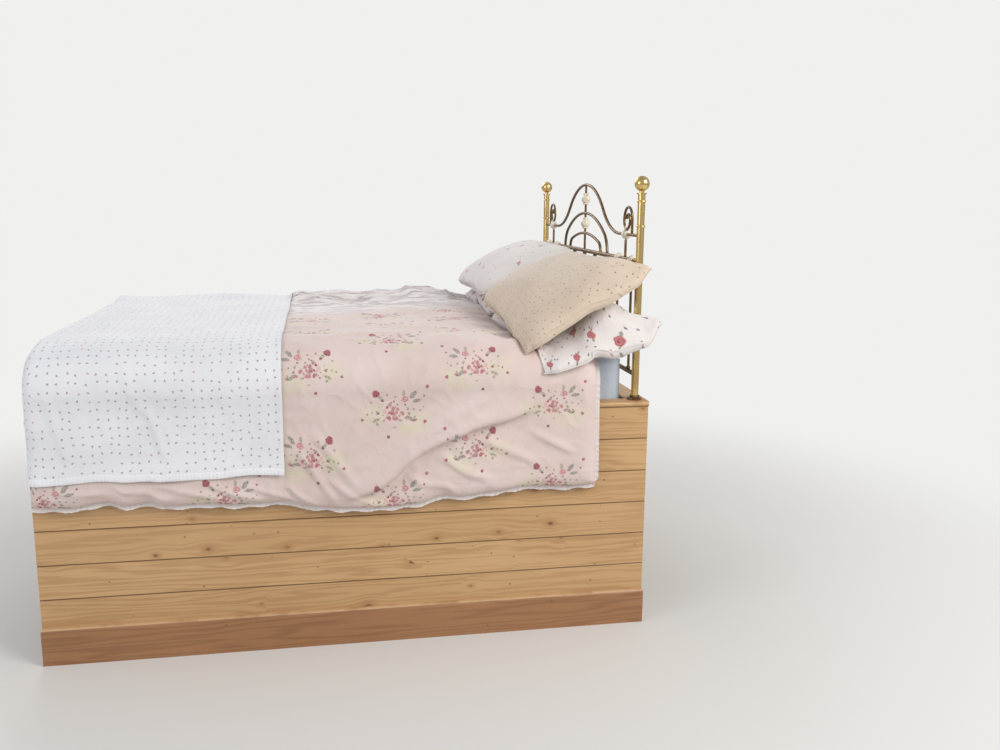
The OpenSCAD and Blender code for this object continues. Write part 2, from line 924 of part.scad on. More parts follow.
// The knuckles are cast round the rods, so each is a bead with its rod's own hole through it
knuckle_mid_as = [-4 * spindle_pitch, -3 * spindle_pitch, 3 * spindle_pitch, 4 * spindle_pitch];
knuckle_centre_hs = [(crown_h + inner_h) / 2, (inner_h + small_h) / 2];

// A bead along X about a rod of diameter d: a sleeve with a round belly
module knuckle(d) {
    rotate([0, 90, 0])
        rotate_extrude()
            difference() {
                union() {
                    circle(d = knuckle_d);
                    translate([0, -knuckle_l / 2])
                        square([d / 2 + knuckle_wall, knuckle_l]);
                }
                translate([-knuckle_d, -knuckle_d])
                    square([knuckle_d + d / 2, 2 * knuckle_d]);
            }
}

module bedhead_knuckles() {
    color(cream)
        in_bedhead() {
            for (a = knuckle_mid_as)
                translate([a, mid_rail_h, 0])
                    knuckle(rail_d);
            for (side = [-1, 1])
                translate([side * strut_a, shoulder_h, 0])
                    knuckle(arch_d);
            for (h = knuckle_centre_hs)
                translate([0, h, 0])
                    rotate([0, 0, 90])
                        knuckle(spindle_d);
        }
}

// The lower spindles stand between the bottom and the middle rail
module bedhead_spindles() {
    color(bronze)
        in_bedhead()
            off_rail(bottom_rail_h)
                off_rail(mid_rail_h)
                    for (n = [-4:4]) {
                        knuckled = abs(n) >= 3;
                        top = knuckled ? mid_rail_h - knuckle_d / 2 : mid_rail_h;
                        rod([n * spindle_pitch, bottom_rail_h], [n * spindle_pitch, top], spindle_d);
                    }
}

// The struts stand between the middle rail and the arches: one in each gap below the crown, and
// one on each side under a knuckle
module bedhead_struts() {
    half_arch = arch_d / 2;
    color(bronze)
        in_bedhead() {
            rod([0, mid_rail_h + rail_d / 2], [0, small_h - half_arch], spindle_d);
            rod([0, small_h + half_arch], [0, inner_h - half_arch], spindle_d);
            rod([0, inner_h + half_arch], [0, crown_h - half_arch], spindle_d);
            off_rail(mid_rail_h)
                for (side = [-1, 1])
                    rod([side * strut_a, mid_rail_h], [side * strut_a, shoulder_h - knuckle_d / 2],
                        spindle_d);
        }
}

plinth_board();
front_board(1);  // front_board_1
front_board(2);  // front_board_2
front_board(3);  // front_board_3
front_board(4);  // front_board_4
front_board(5);  // front_board_5
front_board(6);  // front_board_6
front_board(7);  // front_board_7
capping();
sole_plate();
front_studs();
front_bearer();
middle_bearer();
middle_legs();
back_ledger();
back_legs();
head_rail();
slats();
mattress();
fitted_sheet();
duvet();
throw();
pillow_near_lower();
pillow_near_upper();
pillow_far_lower();
pillow_far_upper();
bedhead_post_near();
bedhead_post_far();
bedhead_knob_near();
bedhead_knob_far();
bedhead_flange_near();
bedhead_flange_far();
bedhead_bottom_rail();
bedhead_middle_rail();
bedhead_outer_arch();
bedhead_inner_arch();
bedhead_small_arch();
bedhead_scrolls();
bedhead_spindles();
bedhead_struts();
bedhead_knuckles();
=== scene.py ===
# %% [markdown]
# # A bed built in across the end of a hut
#
# The part is a joiner's bed: a boarded box, a mattress, a duvet and a throw, four pillows, and a
# brass and iron bedhead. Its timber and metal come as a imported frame, with every piece at its
# place in metres. This lesson gives them their finishes, and makes the soft pieces and the
# bedhead's curved rods as one meets them on the real bed.

import math

import bmesh
import bpy
from mathutils import Matrix, Vector, noise
from mathutils.bvhtree import BVHTree


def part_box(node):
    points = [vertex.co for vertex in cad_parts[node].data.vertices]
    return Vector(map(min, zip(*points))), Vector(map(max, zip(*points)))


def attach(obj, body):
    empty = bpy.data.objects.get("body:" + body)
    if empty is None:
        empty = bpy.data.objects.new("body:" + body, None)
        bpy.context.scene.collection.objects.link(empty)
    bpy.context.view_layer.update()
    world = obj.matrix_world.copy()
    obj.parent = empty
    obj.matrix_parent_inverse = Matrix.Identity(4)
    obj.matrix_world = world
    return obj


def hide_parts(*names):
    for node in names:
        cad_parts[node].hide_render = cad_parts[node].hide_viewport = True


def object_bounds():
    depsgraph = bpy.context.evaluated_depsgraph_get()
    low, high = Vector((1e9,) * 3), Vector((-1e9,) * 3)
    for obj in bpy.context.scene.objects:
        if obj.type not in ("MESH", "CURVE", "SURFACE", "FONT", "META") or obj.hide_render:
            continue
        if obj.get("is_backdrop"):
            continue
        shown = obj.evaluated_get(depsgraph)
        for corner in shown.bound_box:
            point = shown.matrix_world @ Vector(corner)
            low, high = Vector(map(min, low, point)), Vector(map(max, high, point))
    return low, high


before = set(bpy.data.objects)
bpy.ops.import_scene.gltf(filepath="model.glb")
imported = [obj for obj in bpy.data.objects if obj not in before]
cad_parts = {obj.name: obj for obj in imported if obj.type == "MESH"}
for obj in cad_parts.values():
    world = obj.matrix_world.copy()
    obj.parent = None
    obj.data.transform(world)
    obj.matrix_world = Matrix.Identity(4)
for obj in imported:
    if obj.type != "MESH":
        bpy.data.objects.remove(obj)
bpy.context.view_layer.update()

# %% [markdown]
# ## The camera
#
# The camera stands in the hut's doorway at eye height, 3 m from the boards, and looks a little to
# the right and down. A camera is set by three turns, or by the three directions of its own axes.
# The second way is chosen here, because the directions follow plainly from the yaw, the pitch and
# the roll, and no order of turns has to be remembered.

# %% Camera


def linked(name, data):
    """An object for some data, in the scene."""
    made = bpy.data.objects.new(name, data)
    bpy.context.collection.objects.link(made)
    return made


YAW, PITCH, ROLL = 0.1870, 0.1853, 0.0097
EYE = Vector((-0.094, -3.678, 1.470))
LENS_MM = 34.0

level = Vector((math.sin(YAW), math.cos(YAW), 0.0))
across = Vector((math.cos(YAW), -math.sin(YAW), 0.0))
upright = Vector((0.0, 0.0, 1.0))
ahead = level * math.cos(PITCH) - upright * math.sin(PITCH)
over = level * math.sin(PITCH) + upright * math.cos(PITCH)
right = across * math.cos(ROLL) + over * math.sin(ROLL)
top = over * math.cos(ROLL) - across * math.sin(ROLL)

camera = linked("camera", bpy.data.cameras.new("camera"))
camera.matrix_world = Matrix(
    [[right[i], top[i], -ahead[i], EYE[i]] for i in range(3)] + [[0, 0, 0, 1]]
)
camera.data.sensor_width = 36.0
camera.data.lens = LENS_MM
camera.data.clip_end = 100.0
bpy.context.scene.camera = camera
print("camera at", [round(v, 3) for v in EYE], "looking along", [round(v, 3) for v in ahead])

# %% [markdown]
# ## A short hand for nodes
#
# A finish is a tree of nodes, and to write each node and each link in full takes many lines. The
# classes below make a node in one call. `Nodes` keeps one tree, `Finish` one material, and `Value`
# is one node's output that can be reckoned with like a number: `rank * 7.3 + run` makes a Multiply
# and an Add node. The whole of every finish can then be read from top to bottom, like a sum.

# %% Node helper
def reckoned(operation):
    """A method that makes a Math node."""
    return lambda first, *more: first.nodes.math(operation, first, *more)


class Value:
    """A node's output, with the sums and functions that make further nodes."""

    def __init__(self, nodes, socket):
        self.nodes, self.socket = nodes, socket

    __add__ = __radd__ = reckoned("ADD")
    __mul__ = __rmul__ = reckoned("MULTIPLY")
    __sub__, __truediv__ = reckoned("SUBTRACT"), reckoned("DIVIDE")
    __lt__, __gt__ = reckoned("LESS_THAN"), reckoned("GREATER_THAN")
    __abs__, floor, fraction = reckoned("ABSOLUTE"), reckoned("FLOOR"), reckoned("FRACT")
    sine, cosine = reckoned("SINE"), reckoned("COSINE")

    def __rsub__(self, other):
        return self.nodes.math("SUBTRACT", other, self)

    def length(self):
        return self.nodes.vector("LENGTH", self)

    def map(self, low, high, to_low=0.0, to_high=1.0):
        """A smooth step from low to high, which may also fall."""
        values = {"Value": self, "From Min": low, "From Max": high, "To Min": to_low,
                  "To Max": to_high}
        return self.nodes.value("ShaderNodeMapRange", values, "Result",
                                interpolation_type="SMOOTHSTEP")


class Nodes:
    """One node tree, and short calls that add nodes to it."""

    def __init__(self, tree):
        self.tree = tree

    def put(self, value, socket):
        if isinstance(value, Value):
            value = value.socket
        if isinstance(value, bpy.types.NodeSocket):
            self.tree.links.new(value, socket)
        else:
            if hasattr(value, "__len__") and socket.type == "RGBA" and len(value) == 3:
                value = (*value, 1.0)
            socket.default_value = value

    def node(self, kind, values=(), **settings):
        made = self.tree.nodes.new(kind)
        for key, value in settings.items():
            setattr(made, key, value)
        for key, value in dict(values).items():
            self.put(value, made.inputs[key])
        return made

    def value(self, kind, values=(), output=0, **settings):
        return Value(self, self.node(kind, values, **settings).outputs[output])

    def math(self, operation, a, b=0.0):
        return self.value("ShaderNodeMath", {0: a, 1: b}, operation=operation)

    def vector(self, operation, a, b=(0, 0, 0)):
        output = "Value" if operation == "LENGTH" else "Vector"
        return self.value("ShaderNodeVectorMath", {0: a, 1: b}, output, operation=operation)

    def mix(self, factor, a, b, blend="MIX"):
        made = self.node("ShaderNodeMix", data_type="RGBA", blend_type=blend)
        for value, socket in ((factor, 0), (a, 6), (b, 7)):
            self.put(value, made.inputs[socket])
        return Value(self, made.outputs[2])

    def noise(self, at, scale, detail=2.0, roughness=0.5, output="Fac"):
        values = {"Vector": at, "Scale": scale, "Detail": detail, "Roughness": roughness}
        return self.value("ShaderNodeTexNoise", values, output)

    def place(self, at, location=(0, 0, 0), turn=0.0, scale=(1, 1, 1)):
        """Distance from a place, in units of scale, with the pattern turned."""
        values = {"Vector": at, "Location": location, "Rotation": (0, 0, turn), "Scale": scale}
        return self.value("ShaderNodeMapping", values, vector_type="TEXTURE")

    def split(self, at):
        return [Value(self, part) for part in self.node("ShaderNodeSeparateXYZ", {0: at}).outputs]

    def join(self, x, y, z=0.0):
        return self.value("ShaderNodeCombineXYZ", {0: x, 1: y, 2: z})

    def where(self):
        return self.value("ShaderNodeTexCoord", output="Object")

    def cloth(self):
        return self.value("ShaderNodeUVMap", uv_map="cloth")

    def bump(self, height, distance, strength=1.0, after=None):
        values = {"Height": height, "Distance": distance, "Strength": strength}
        if after is not None:
            values["Normal"] = after
        return self.value("ShaderNodeBump", values)

    def cells(self, at, pitch, loose, dimensions="3D"):
        """Where the cell's centre lies at each point, and three random numbers for the cell."""
        values = {"Vector": at, "Scale": 1 / pitch, "Randomness": loose}
        made = self.node("ShaderNodeTexVoronoi", values, voronoi_dimensions=dimensions)
        return Value(self, made.outputs["Position"]), self.split(made.outputs["Color"])


class Finish(Nodes):
    """One material with a Principled shader."""

    def __init__(self, name, **sockets):
        self.material = bpy.data.materials.new(name)
        self.material.use_nodes = True
        super().__init__(self.material.node_tree)
        self.shader = self.tree.nodes["Principled BSDF"]
        for socket, value in sockets.items():
            self.put(value, self.shader.inputs[socket.replace("_", " ")])

    def paint(self, colour, roughness=None, normal=None):
        for value, socket in ((colour, "Base Color"), (roughness, "Roughness"), (normal, "Normal")):
            if value is not None:
                self.put(value, self.shader.inputs[socket])
        return self.material


def shade_of(colour, share):
    """A colour made darker or lighter."""
    return tuple(share * v for v in colour)


print("node helper ready")

# %% [markdown]
# ## Stage and light
#
# The bed stands on a plain pale floor under soft light. A lit white floor would glare, so the
# floor keeps a grey that shows the bed's shadow, and only what the camera sees beyond it is made
# white with a Light Path node. Three broad lamps and an even world give about as much light as
# makes a colour render as it is written, so the finishes can be judged.

# %% Floor
FLOOR_R = 9.0
FADE_FROM, FADE_TO = 1.35, 3.6
BEYOND = (0.87, 0.87, 0.86, 1)


def mesh_of(name, shape):
    """A mesh of a bmesh, which is let go."""
    mesh = bpy.data.meshes.new(name)
    shape.to_mesh(mesh)
    shape.free()
    return mesh


disc = bmesh.new()
bmesh.ops.create_circle(disc, cap_ends=True, segments=64, radius=FLOOR_R)
floor = linked("floor", mesh_of("floor", disc))
floor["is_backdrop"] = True

stone = Finish("floor", Roughness=0.9)
fade = stone.where().length().map(FADE_FROM, FADE_TO)
glow = stone.value("ShaderNodeEmission", {"Color": BEYOND, "Strength": 1.0})
seen = stone.value("ShaderNodeLightPath", output="Is Camera Ray")
blend = stone.value("ShaderNodeMixShader", {0: fade * seen, 1: stone.shader.outputs[0], 2: glow})
stone.put(blend, stone.tree.nodes["Material Output"].inputs[0])
floor.data.materials.append(stone.paint((0.68, 0.67, 0.65)))
print("floor of radius", FLOOR_R, "m")

# %% World and lamps
world = bpy.data.worlds.new("studio")
bpy.context.scene.world = world
world.use_nodes = True
world.node_tree.nodes.clear()
sky = Nodes(world.node_tree)
lit = sky.value("ShaderNodeBackground", {"Color": (0.96, 0.97, 1.0, 1), "Strength": 0.52})
shown = sky.value("ShaderNodeBackground", {"Color": BEYOND})
rays = sky.node("ShaderNodeLightPath").outputs
either = sky.math("MAXIMUM", rays["Is Camera Ray"], rays["Is Transmission Ray"])
choice = sky.value("ShaderNodeMixShader", {0: either, 1: lit, 2: shown})
sky.node("ShaderNodeOutputWorld", {0: choice})


def lamp(name, place, aim, size, watts, colour):
    made = linked(name, bpy.data.lights.new(name, "AREA"))
    made.data.shape = "SQUARE"
    made.data.size = size
    made.data.energy = watts
    made.data.color = colour
    made.location = place
    made.rotation_euler = (Vector(aim) - Vector(place)).to_track_quat("-Z", "Y").to_euler()


lamp("key", (3.1, -3.4, 3.3), (0, 0, 0.8), 2.2, 150, (1.0, 0.97, 0.92))
lamp("fill", (-3.6, -2.6, 2.4), (0, 0, 0.7), 2.6, 55, (0.95, 0.97, 1.0))
lamp("back", (-0.8, 3.4, 3.4), (0, 0, 0.9), 2.6, 70, (1.0, 0.98, 0.95))
bpy.context.scene.view_settings.view_transform = "Standard"
print("lit by 3 lamps and the world")

# %% [markdown]
# ## Pine
#
# The boards are honey-coloured pine under clear wax: a long grain with dark knots that the grain
# flows round, and another plank for each board. The grain could be painted on UV maps, but the
# timbers are CAD pieces whose places are fixed, so their own coordinates are enough. The noise is
# stretched along each timber. A Voronoi texture gives the knots, and its Position output tells
# how far each point lies from its knot, which bends the grain round it. Sawn ends get rings.

# %% Pine finish
BOARD_COVER = 0.113
FIRST_BOARD = 0.099
PIN_CELL = 0.058
PLINTH_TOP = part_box("plinth_board")[1][2]


def grain_axes(finish, along):
    """Object coordinates, turned so that the first runs along the grain."""
    x, y, z = finish.split(finish.where())
    return {"x": (x, z, y), "y": (y, x, z), "z": (z, x, y)}[along]


def pine(name, along, light, dark, knot, knots=0.5, boards=False, knot_cell=0.145, wax=0.15,
         highlight_at=None):
    finish = Finish(name, Coat_Weight=wax, Coat_Roughness=0.25)
    run, side, deep = grain_axes(finish, along)
    if boards:
        rank = ((side - FIRST_BOARD) / BOARD_COVER).floor()
        run = rank * 7.31 + run
        deep = rank * 1.77 + deep
    # Knots: one to a cell, of which some are left out
    at = finish.join(run * 0.8, side, deep * 0.3)
    centre, drawn = finish.cells(at, knot_cell, 0.9)
    centre = finish.split(centre)
    kept = drawn[0] < knots
    dx = run * 0.8 - centre[0]
    dz = side - centre[1]
    away = finish.join(dx * 0.8, dz).length()
    near = away.map(0.055, 0.0) * kept
    bent = side - dz * (near * 0.75)
    # Year rings seen lengthwise: wide waves, fine lines and pores
    flow = finish.join(run * 0.55, bent * 9.0, deep)
    wide = finish.noise(flow, 1.7, 3, 0.55)
    ring = (wide * 46.0 + bent * 260.0).sine()
    line = ring.map(-0.7, 1.2)
    fine = finish.noise(finish.join(run * 6.0, bent * 420.0, deep * 60.0), 1.0, 3, 0.6)
    slow = finish.noise(finish.join(run * 0.9, side, deep), 2.3, 2)
    mixed = line * 0.30 + fine * 0.36
    tone = slow * 0.62 + mixed
    colour = finish.mix(tone.map(0.20, 1.25), light, dark)
    if boards:
        plank = finish.value("ShaderNodeTexWhiteNoise", {"W": rank}, "Value", noise_dimensions="1D")
        warm = plank.map(0.0, 1.0, 0.0, 0.26)
        colour = finish.mix(warm, colour, tuple(0.62 * a + 0.38 * b for a, b in zip(light, dark)))
        step = ((side - (FIRST_BOARD - BOARD_COVER / 2)) / BOARD_COVER).fraction()
        off = abs(step - 0.5) * BOARD_COVER
        grime = off.map(0.0030, 0.0006) * 0.85
        colour = finish.mix(grime, colour, shade_of(dark, 0.30))
    # The knot itself: a dark round with its own rings and a darker rim
    size = drawn[1] * 0.0048 + 0.0030
    share = away / size
    ragged = finish.noise(finish.where(), 260, 2) * 0.5 + share
    plain = kept * (drawn[2] * 0.75 + 0.25)
    core = ragged.map(1.40, 1.00) * plain
    halo = ragged.map(4.2, 1.2) * kept
    heart = finish.mix((share * 17.0).sine().map(-1, 1), knot, shade_of(knot, 2.1))
    colour = finish.mix(halo * 0.55, colour, dark)
    colour = finish.mix(core, colour, heart)
    # Pin knots, smaller and closer together
    centre, drawn = finish.cells(at, PIN_CELL, 1.0)
    centre = finish.split(centre)
    apart = finish.join(run * 0.8 - centre[0], side - centre[1]).length()
    pin = (apart / (drawn[1] * 0.0018 + 0.0013)).map(1.5, 0.7) * (drawn[0] < 0.17)
    colour = finish.mix(pin * 0.7, colour, shade_of(knot, 1.6))
    # A painted highlight along the top edge, broken up by noise
    if highlight_at is not None:
        pale = finish.noise(finish.where(), 13, 3).map(0.30, 0.55, 0.35, 0.8)
        edge = side.map(highlight_at - 0.0052, highlight_at - 0.0028)
        colour = finish.mix(edge * pale, colour, (0.60, 0.40, 0.22))
    # Sawn ends show the rings as arcs about a heart below
    facing = finish.split(finish.value("ShaderNodeNewGeometry", output="Normal"))
    end = abs(facing["xyz".index(along)]) > 0.7
    arc = finish.join(side + 0.06, deep + 0.05).length()
    rings = (arc * 1500.0 + wide * 9.0).sine().map(-1, 1)
    sawn = finish.mix(rings, shade_of(light, 0.72), shade_of(dark, 0.85))
    colour = finish.mix(end, colour, sawn)
    worn = finish.noise(finish.where(), 9, 3).map(0.3, 0.7, 0.42, 0.60)
    height = line * -0.5 - fine
    return finish.paint(colour, worn, finish.bump(height, 0.0004, 0.5))


BOARD_PINE = pine("board pine", "x", (0.580, 0.365, 0.175), (0.360, 0.190, 0.072),
                  (0.120, 0.050, 0.022), knots=0.46, boards=True)
# The plinth gets a painted highlight along its top edge
PLINTH_PINE = pine("plinth pine", "x", (0.365, 0.180, 0.078), (0.220, 0.094, 0.036),
                   (0.080, 0.032, 0.016), knots=0.22, knot_cell=0.19, highlight_at=PLINTH_TOP)
FRAME_ALONG = {
    axis: pine("frame pine along " + axis, axis, (0.640, 0.450, 0.255), (0.470, 0.285, 0.130),
               (0.170, 0.080, 0.035), knots=0.3, wax=0.0) for axis in "xyz"
}
print("pine in", 2 + len(FRAME_ALONG), "finishes")

# %% Timber of the bed box


def dress(material, *nodes):
    """Gives CAD nodes a finish in place of the one they came with."""
    for node in nodes:
        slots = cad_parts[node].data.materials
        slots.clear()
        slots.append(material)
    print(material.name, "on", len(nodes), "nodes")


dress(BOARD_PINE, *(f"front_board_{n}" for n in range(1, 8)), "capping")
dress(PLINTH_PINE, "plinth_board")
dress(FRAME_ALONG["x"], "sole_plate", "front_bearer", "middle_bearer", "back_ledger")
dress(FRAME_ALONG["y"], "head_rail", "slats")
dress(FRAME_ALONG["z"], "front_studs", "middle_legs", "back_legs")

# %% [markdown]
# ## Metal finishes
#
# The bedhead has three metals. The posts and knobs are brass tube, gone a little dull where hands
# don't reach. The arches and rails are iron with a dark bronze paint, rubbed back to a warmer tone.
# The knuckles are castings under cream enamel. Wear could follow the edges, but that depends on
# the renderer. Noise at two scales wears them as well and can be carried to any other program.

# %% Brass, bronze paint and enamel
def brass():
    finish = Finish("brass", Metallic=1.0)
    at = finish.where()
    patches = finish.noise(at, 14, 4, 0.6).map(0.35, 0.75)
    specks = finish.noise(at, 240, 2).map(0.62, 0.74)
    colour = finish.mix(patches, (0.80, 0.585, 0.235), (0.56, 0.375, 0.135))
    colour = finish.mix(specks * 0.28, colour, (0.30, 0.19, 0.08))
    dull = patches * 0.16 + 0.17
    x, y, z = finish.split(at)
    rubbed = finish.noise(finish.join(x * 6, y * 6, z * 0.5), 160, 2)
    return finish.paint(colour, dull, finish.bump(rubbed, 0.00003, 0.3))


def bronze_paint():
    finish = Finish("bronze paint", Metallic=0.85)
    at = finish.where()
    rubbed = finish.noise(at, 60, 4, 0.65).map(0.52, 0.72)
    cloudy = finish.noise(at, 11, 3)
    colour = finish.mix(cloudy, (0.105, 0.062, 0.030), (0.215, 0.135, 0.062))
    colour = finish.mix(rubbed * 0.75, colour, (0.44, 0.29, 0.13))
    rough = rubbed * -0.12 + 0.42
    return finish.paint(colour, rough, finish.bump(finish.noise(at, 420, 3), 0.00025, 0.5))


def enamel():
    finish = Finish("cream enamel", Coat_Weight=0.4, Coat_Roughness=0.15)
    at = finish.where()
    grime = finish.noise(at, 75, 4, 0.6).map(0.46, 0.72)
    chips = finish.noise(at, 190, 2).map(0.70, 0.74)
    colour = finish.mix(grime, (0.74, 0.68, 0.56), (0.50, 0.42, 0.30))
    colour = finish.mix(chips, colour, (0.13, 0.085, 0.045))
    return finish.paint(colour, 0.36, finish.bump(finish.noise(at, 130, 3), 0.0006, 0.5))


BRASS, BRONZE, ENAMEL = brass(), bronze_paint(), enamel()
dress(BRASS, "bedhead_post_near", "bedhead_post_far", "bedhead_knob_near", "bedhead_knob_far")
dress(BRONZE, "bedhead_flange_near", "bedhead_flange_far", "bedhead_bottom_rail",
      "bedhead_middle_rail", "bedhead_spindles", "bedhead_struts")

# %% [markdown]
# ## From a bmesh to a piece
#
# Every new piece goes the same way: its mesh is finished in world places, its object stays at the
# origin, it takes its finish, and it rides on the bed's one body. Edges that turn sharply are kept
# sharp and the others are shaded smooth, which needs no modifier.

# %% Piece helper
made_pieces = []


def piece(name, shape, material, replaces=(), sharp=math.radians(38)):
    shape.normal_update()
    for edge in shape.edges:
        edge.smooth = edge.calc_face_angle(0.0) < sharp
    mesh = mesh_of(name, shape)
    mesh.polygons.foreach_set("use_smooth", [True] * len(mesh.polygons))
    mesh.materials.append(material)
    made = linked(name, mesh)
    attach(made, "root")
    if replaces:
        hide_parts(*replaces)
    made_pieces.append(made)
    print(f"{name}: {len(mesh.polygons)} faces")
    return made


def merged(shape, gap=1e-6):
    bmesh.ops.remove_doubles(shape, verts=shape.verts, dist=gap)
    bmesh.ops.recalc_face_normals(shape, faces=shape.faces)
    return shape


def verts_of(geom):
    return [v for v in geom if isinstance(v, bmesh.types.BMVert)]


def edges_of(geom):
    return [e for e in geom if isinstance(e, bmesh.types.BMEdge)]


def all_of(shape):
    return shape.verts[:] + shape.edges[:] + shape.faces[:]


def edges_at(verts):
    """The edges at some vertices, each once, in the same order at each run."""
    return list(dict.fromkeys(e for v in verts for e in v.link_edges))


print("piece helper ready")

# %% [markdown]
# ## The bedhead's bent rods
#
# A smith bends each rod cold round a former, so it is a row of true arcs. In the editor this is
# the Spin tool: the end of the rod is turned about the arc's centre and draws the rod behind it.
# The same operator is used here. A curve with a bevel would be shorter to write, but its arcs
# are only near to round, and its ends have to be closed by hand.

# %% Rod bender
BEDHEAD_X, BEDHEAD_Y = 0.952, 0.0375
POST_A, POST_D = 0.6775, 0.025
ARCH_D, SPINDLE_D, RAIL_D = 0.011, 0.009, 0.016
MID_RAIL_H, SHOULDER_H, CROWN_H = 1.265, 1.350, 1.525
ROD_SIDES = 16


def bend_rod(shape, start, heading, d, moves):
    """Draws a rod in the bedhead's plane. A move is a length, or an arc's centre and its angle."""
    turn = Matrix.Rotation(heading, 4, "X") @ Matrix.Rotation(math.radians(90), 4, "X")
    edges = edges_at(bmesh.ops.create_circle(
        shape, segments=ROD_SIDES, radius=d / 2,
        matrix=Matrix.Translation((0, start[0], start[1])) @ turn)["verts"])
    bmesh.ops.contextual_create(shape, geom=edges)
    for move in moves:
        if isinstance(move, tuple):
            centre, angle = move
            steps = max(3, round(abs(angle) / math.radians(5)))
            last = bmesh.ops.spin(shape, geom=edges, cent=(0, *centre), axis=(1, 0, 0),
                                  angle=angle, steps=steps, use_merge=False)["geom_last"]
        else:
            last = bmesh.ops.extrude_edge_only(shape, edges=edges)["geom"]
            way = Vector((0, math.cos(heading), math.sin(heading))) * move
            bmesh.ops.translate(shape, vec=way, verts=verts_of(last))
        edges = edges_of(last)
        heading += move[1] if isinstance(move, tuple) else 0.0
    bmesh.ops.contextual_create(shape, geom=edges)
    return sum((v.co for e in edges for v in e.verts), Vector()) / (2 * len(edges))


def to_bedhead(shape):
    bmesh.ops.translate(shape, vec=(BEDHEAD_X, BEDHEAD_Y, 0), verts=shape.verts)
    return merged(shape)


print("rod bender ready:", ROD_SIDES, "sides")

# %% Arches and scrolls


def basket_arch(half_span, haunch_r, crown_z, crown_r):
    """A flat arch of three arcs: a small one at each haunch and a wide one over the crown."""
    haunch = half_span - haunch_r
    lean = math.atan2(MID_RAIL_H - crown_z, -haunch)
    shape = bmesh.new()
    bend_rod(shape, (-half_span, MID_RAIL_H), math.pi / 2, ARCH_D, [
        ((-haunch, MID_RAIL_H), lean - math.pi),
        ((0.0, crown_z), math.pi - 2 * lean),
        ((haunch, MID_RAIL_H), lean - math.pi),
    ])
    assert abs(math.hypot(haunch, MID_RAIL_H - crown_z) - crown_r + haunch_r) < 0.001
    return to_bedhead(shape)


# The outer arch runs flat, sweeps up, turns over its crown and comes down alike
SWEEP_A, SWEEP_H, CROWN_CENTRE_H, SWEEP = 0.450, 1.65607, 1.165, math.radians(42.501)
outer = bmesh.new()
bend_rod(outer, (-POST_A, SHOULDER_H), 0.0, ARCH_D, [
    POST_A - SWEEP_A,
    ((-SWEEP_A, SWEEP_H), SWEEP),
    ((0.0, CROWN_CENTRE_H), -2 * SWEEP),
    ((SWEEP_A, SWEEP_H), SWEEP),
    POST_A - SWEEP_A,
])
for name, shape in (("outer_arch", to_bedhead(outer)),
                    ("inner_arch", basket_arch(0.310, 0.090, 0.8843, 0.5297)),
                    ("small_arch", basket_arch(0.225, 0.044, 0.648, 0.687))):
    piece(name, shape, BRONZE, ["bedhead_" + name])

# Each scroll rises from the shoulder and curls in three arcs, each tighter than the last
SCROLL_A, SCROLL_RISE = 0.590, 0.0495
scrolls = bmesh.new()
for side in (-1, 1):
    arcs = ((0.546, math.pi), (0.53368, math.pi), (0.54556, math.radians(150)))
    tip = bend_rod(scrolls, (side * SCROLL_A, SHOULDER_H), math.pi / 2, SPINDLE_D, [
        SCROLL_RISE,
        *(((side * a, SHOULDER_H + SCROLL_RISE), side * angle) for a, angle in arcs)])
    bmesh.ops.create_uvsphere(scrolls, u_segments=20, v_segments=12, radius=0.0078,
                              matrix=Matrix.Translation(tip))
piece("scrolls", to_bedhead(scrolls), BRONZE, ["bedhead_scrolls"])

# %% [markdown]
# ## Castings and collars
#
# Where two rods cross, a founder pours a small bell-shaped casting round them, and here each one
# is painted cream. A turned shape like this is half a profile spun round its axis. The profile is
# drawn as a chain of vertices and spun with the full turn merged, and the waist of petals is
# pressed in afterwards. A lathe modifier does the same, but keeps the profile to be edited later.

# %% Turned shapes


def turned(shape, profile, place, steps=32, petals=0, deep=0.0):
    """Spins a profile of (height, radius) round Z, presses petals in, and puts it in place."""
    chain = [shape.verts.new((r, 0, h)) for h, r in profile]
    chain.append(chain[0])
    edges = [shape.edges.new(pair) for pair in zip(chain, chain[1:])]
    bmesh.ops.spin(shape, geom=chain[:-1] + edges, cent=(0, 0, 0), axis=(0, 0, 1),
                   angle=2 * math.pi, steps=steps, use_merge=True)
    widest = max(r for h, r in profile)
    for v in [v for v in shape.verts if not v.tag]:
        r = math.hypot(v.co.x, v.co.y)
        if petals and r > 0:
            around = math.atan2(v.co.y, v.co.x)
            squeeze = 1 - deep * (r / widest) ** 4 * (0.5 - 0.5 * math.cos(petals * around))
            v.co.x, v.co.y = v.co.x * squeeze, v.co.y * squeeze
        v.co = place @ v.co
        v.tag = True


def bored(profile, rod_d):
    """A profile closed with the hole of the rod that it sits on, so tight that it touches."""
    bore = rod_d / 2 - 0.0004
    return [(profile[0][0], bore), *profile, (profile[-1][0], bore)]


def upright_at(a, z):
    return Matrix.Translation((BEDHEAD_X, BEDHEAD_Y + a, z))


def along_rail(a, z):
    """Lying along a rail, so that the bedhead's two halves mirror each other."""
    return upright_at(a, z) @ Matrix.Rotation(math.copysign(math.radians(90), a), 4, "X")


castings = bmesh.new()
BELL = [(-0.0220, 0.0100), (-0.0205, 0.0122), (-0.0182, 0.0122), (-0.0166, 0.0100),
        (-0.0140, 0.0128), (-0.0100, 0.0164), (-0.0045, 0.0180), (0.0015, 0.0178),
        (0.0070, 0.0156), (0.0115, 0.0120), (0.0148, 0.0094), (0.0164, 0.0108),
        (0.0184, 0.0112), (0.0203, 0.0102), (0.0220, 0.0086)]


def casting(place, rod_d):
    turned(castings, bored(BELL, rod_d), place, steps=40, petals=8, deep=0.13)


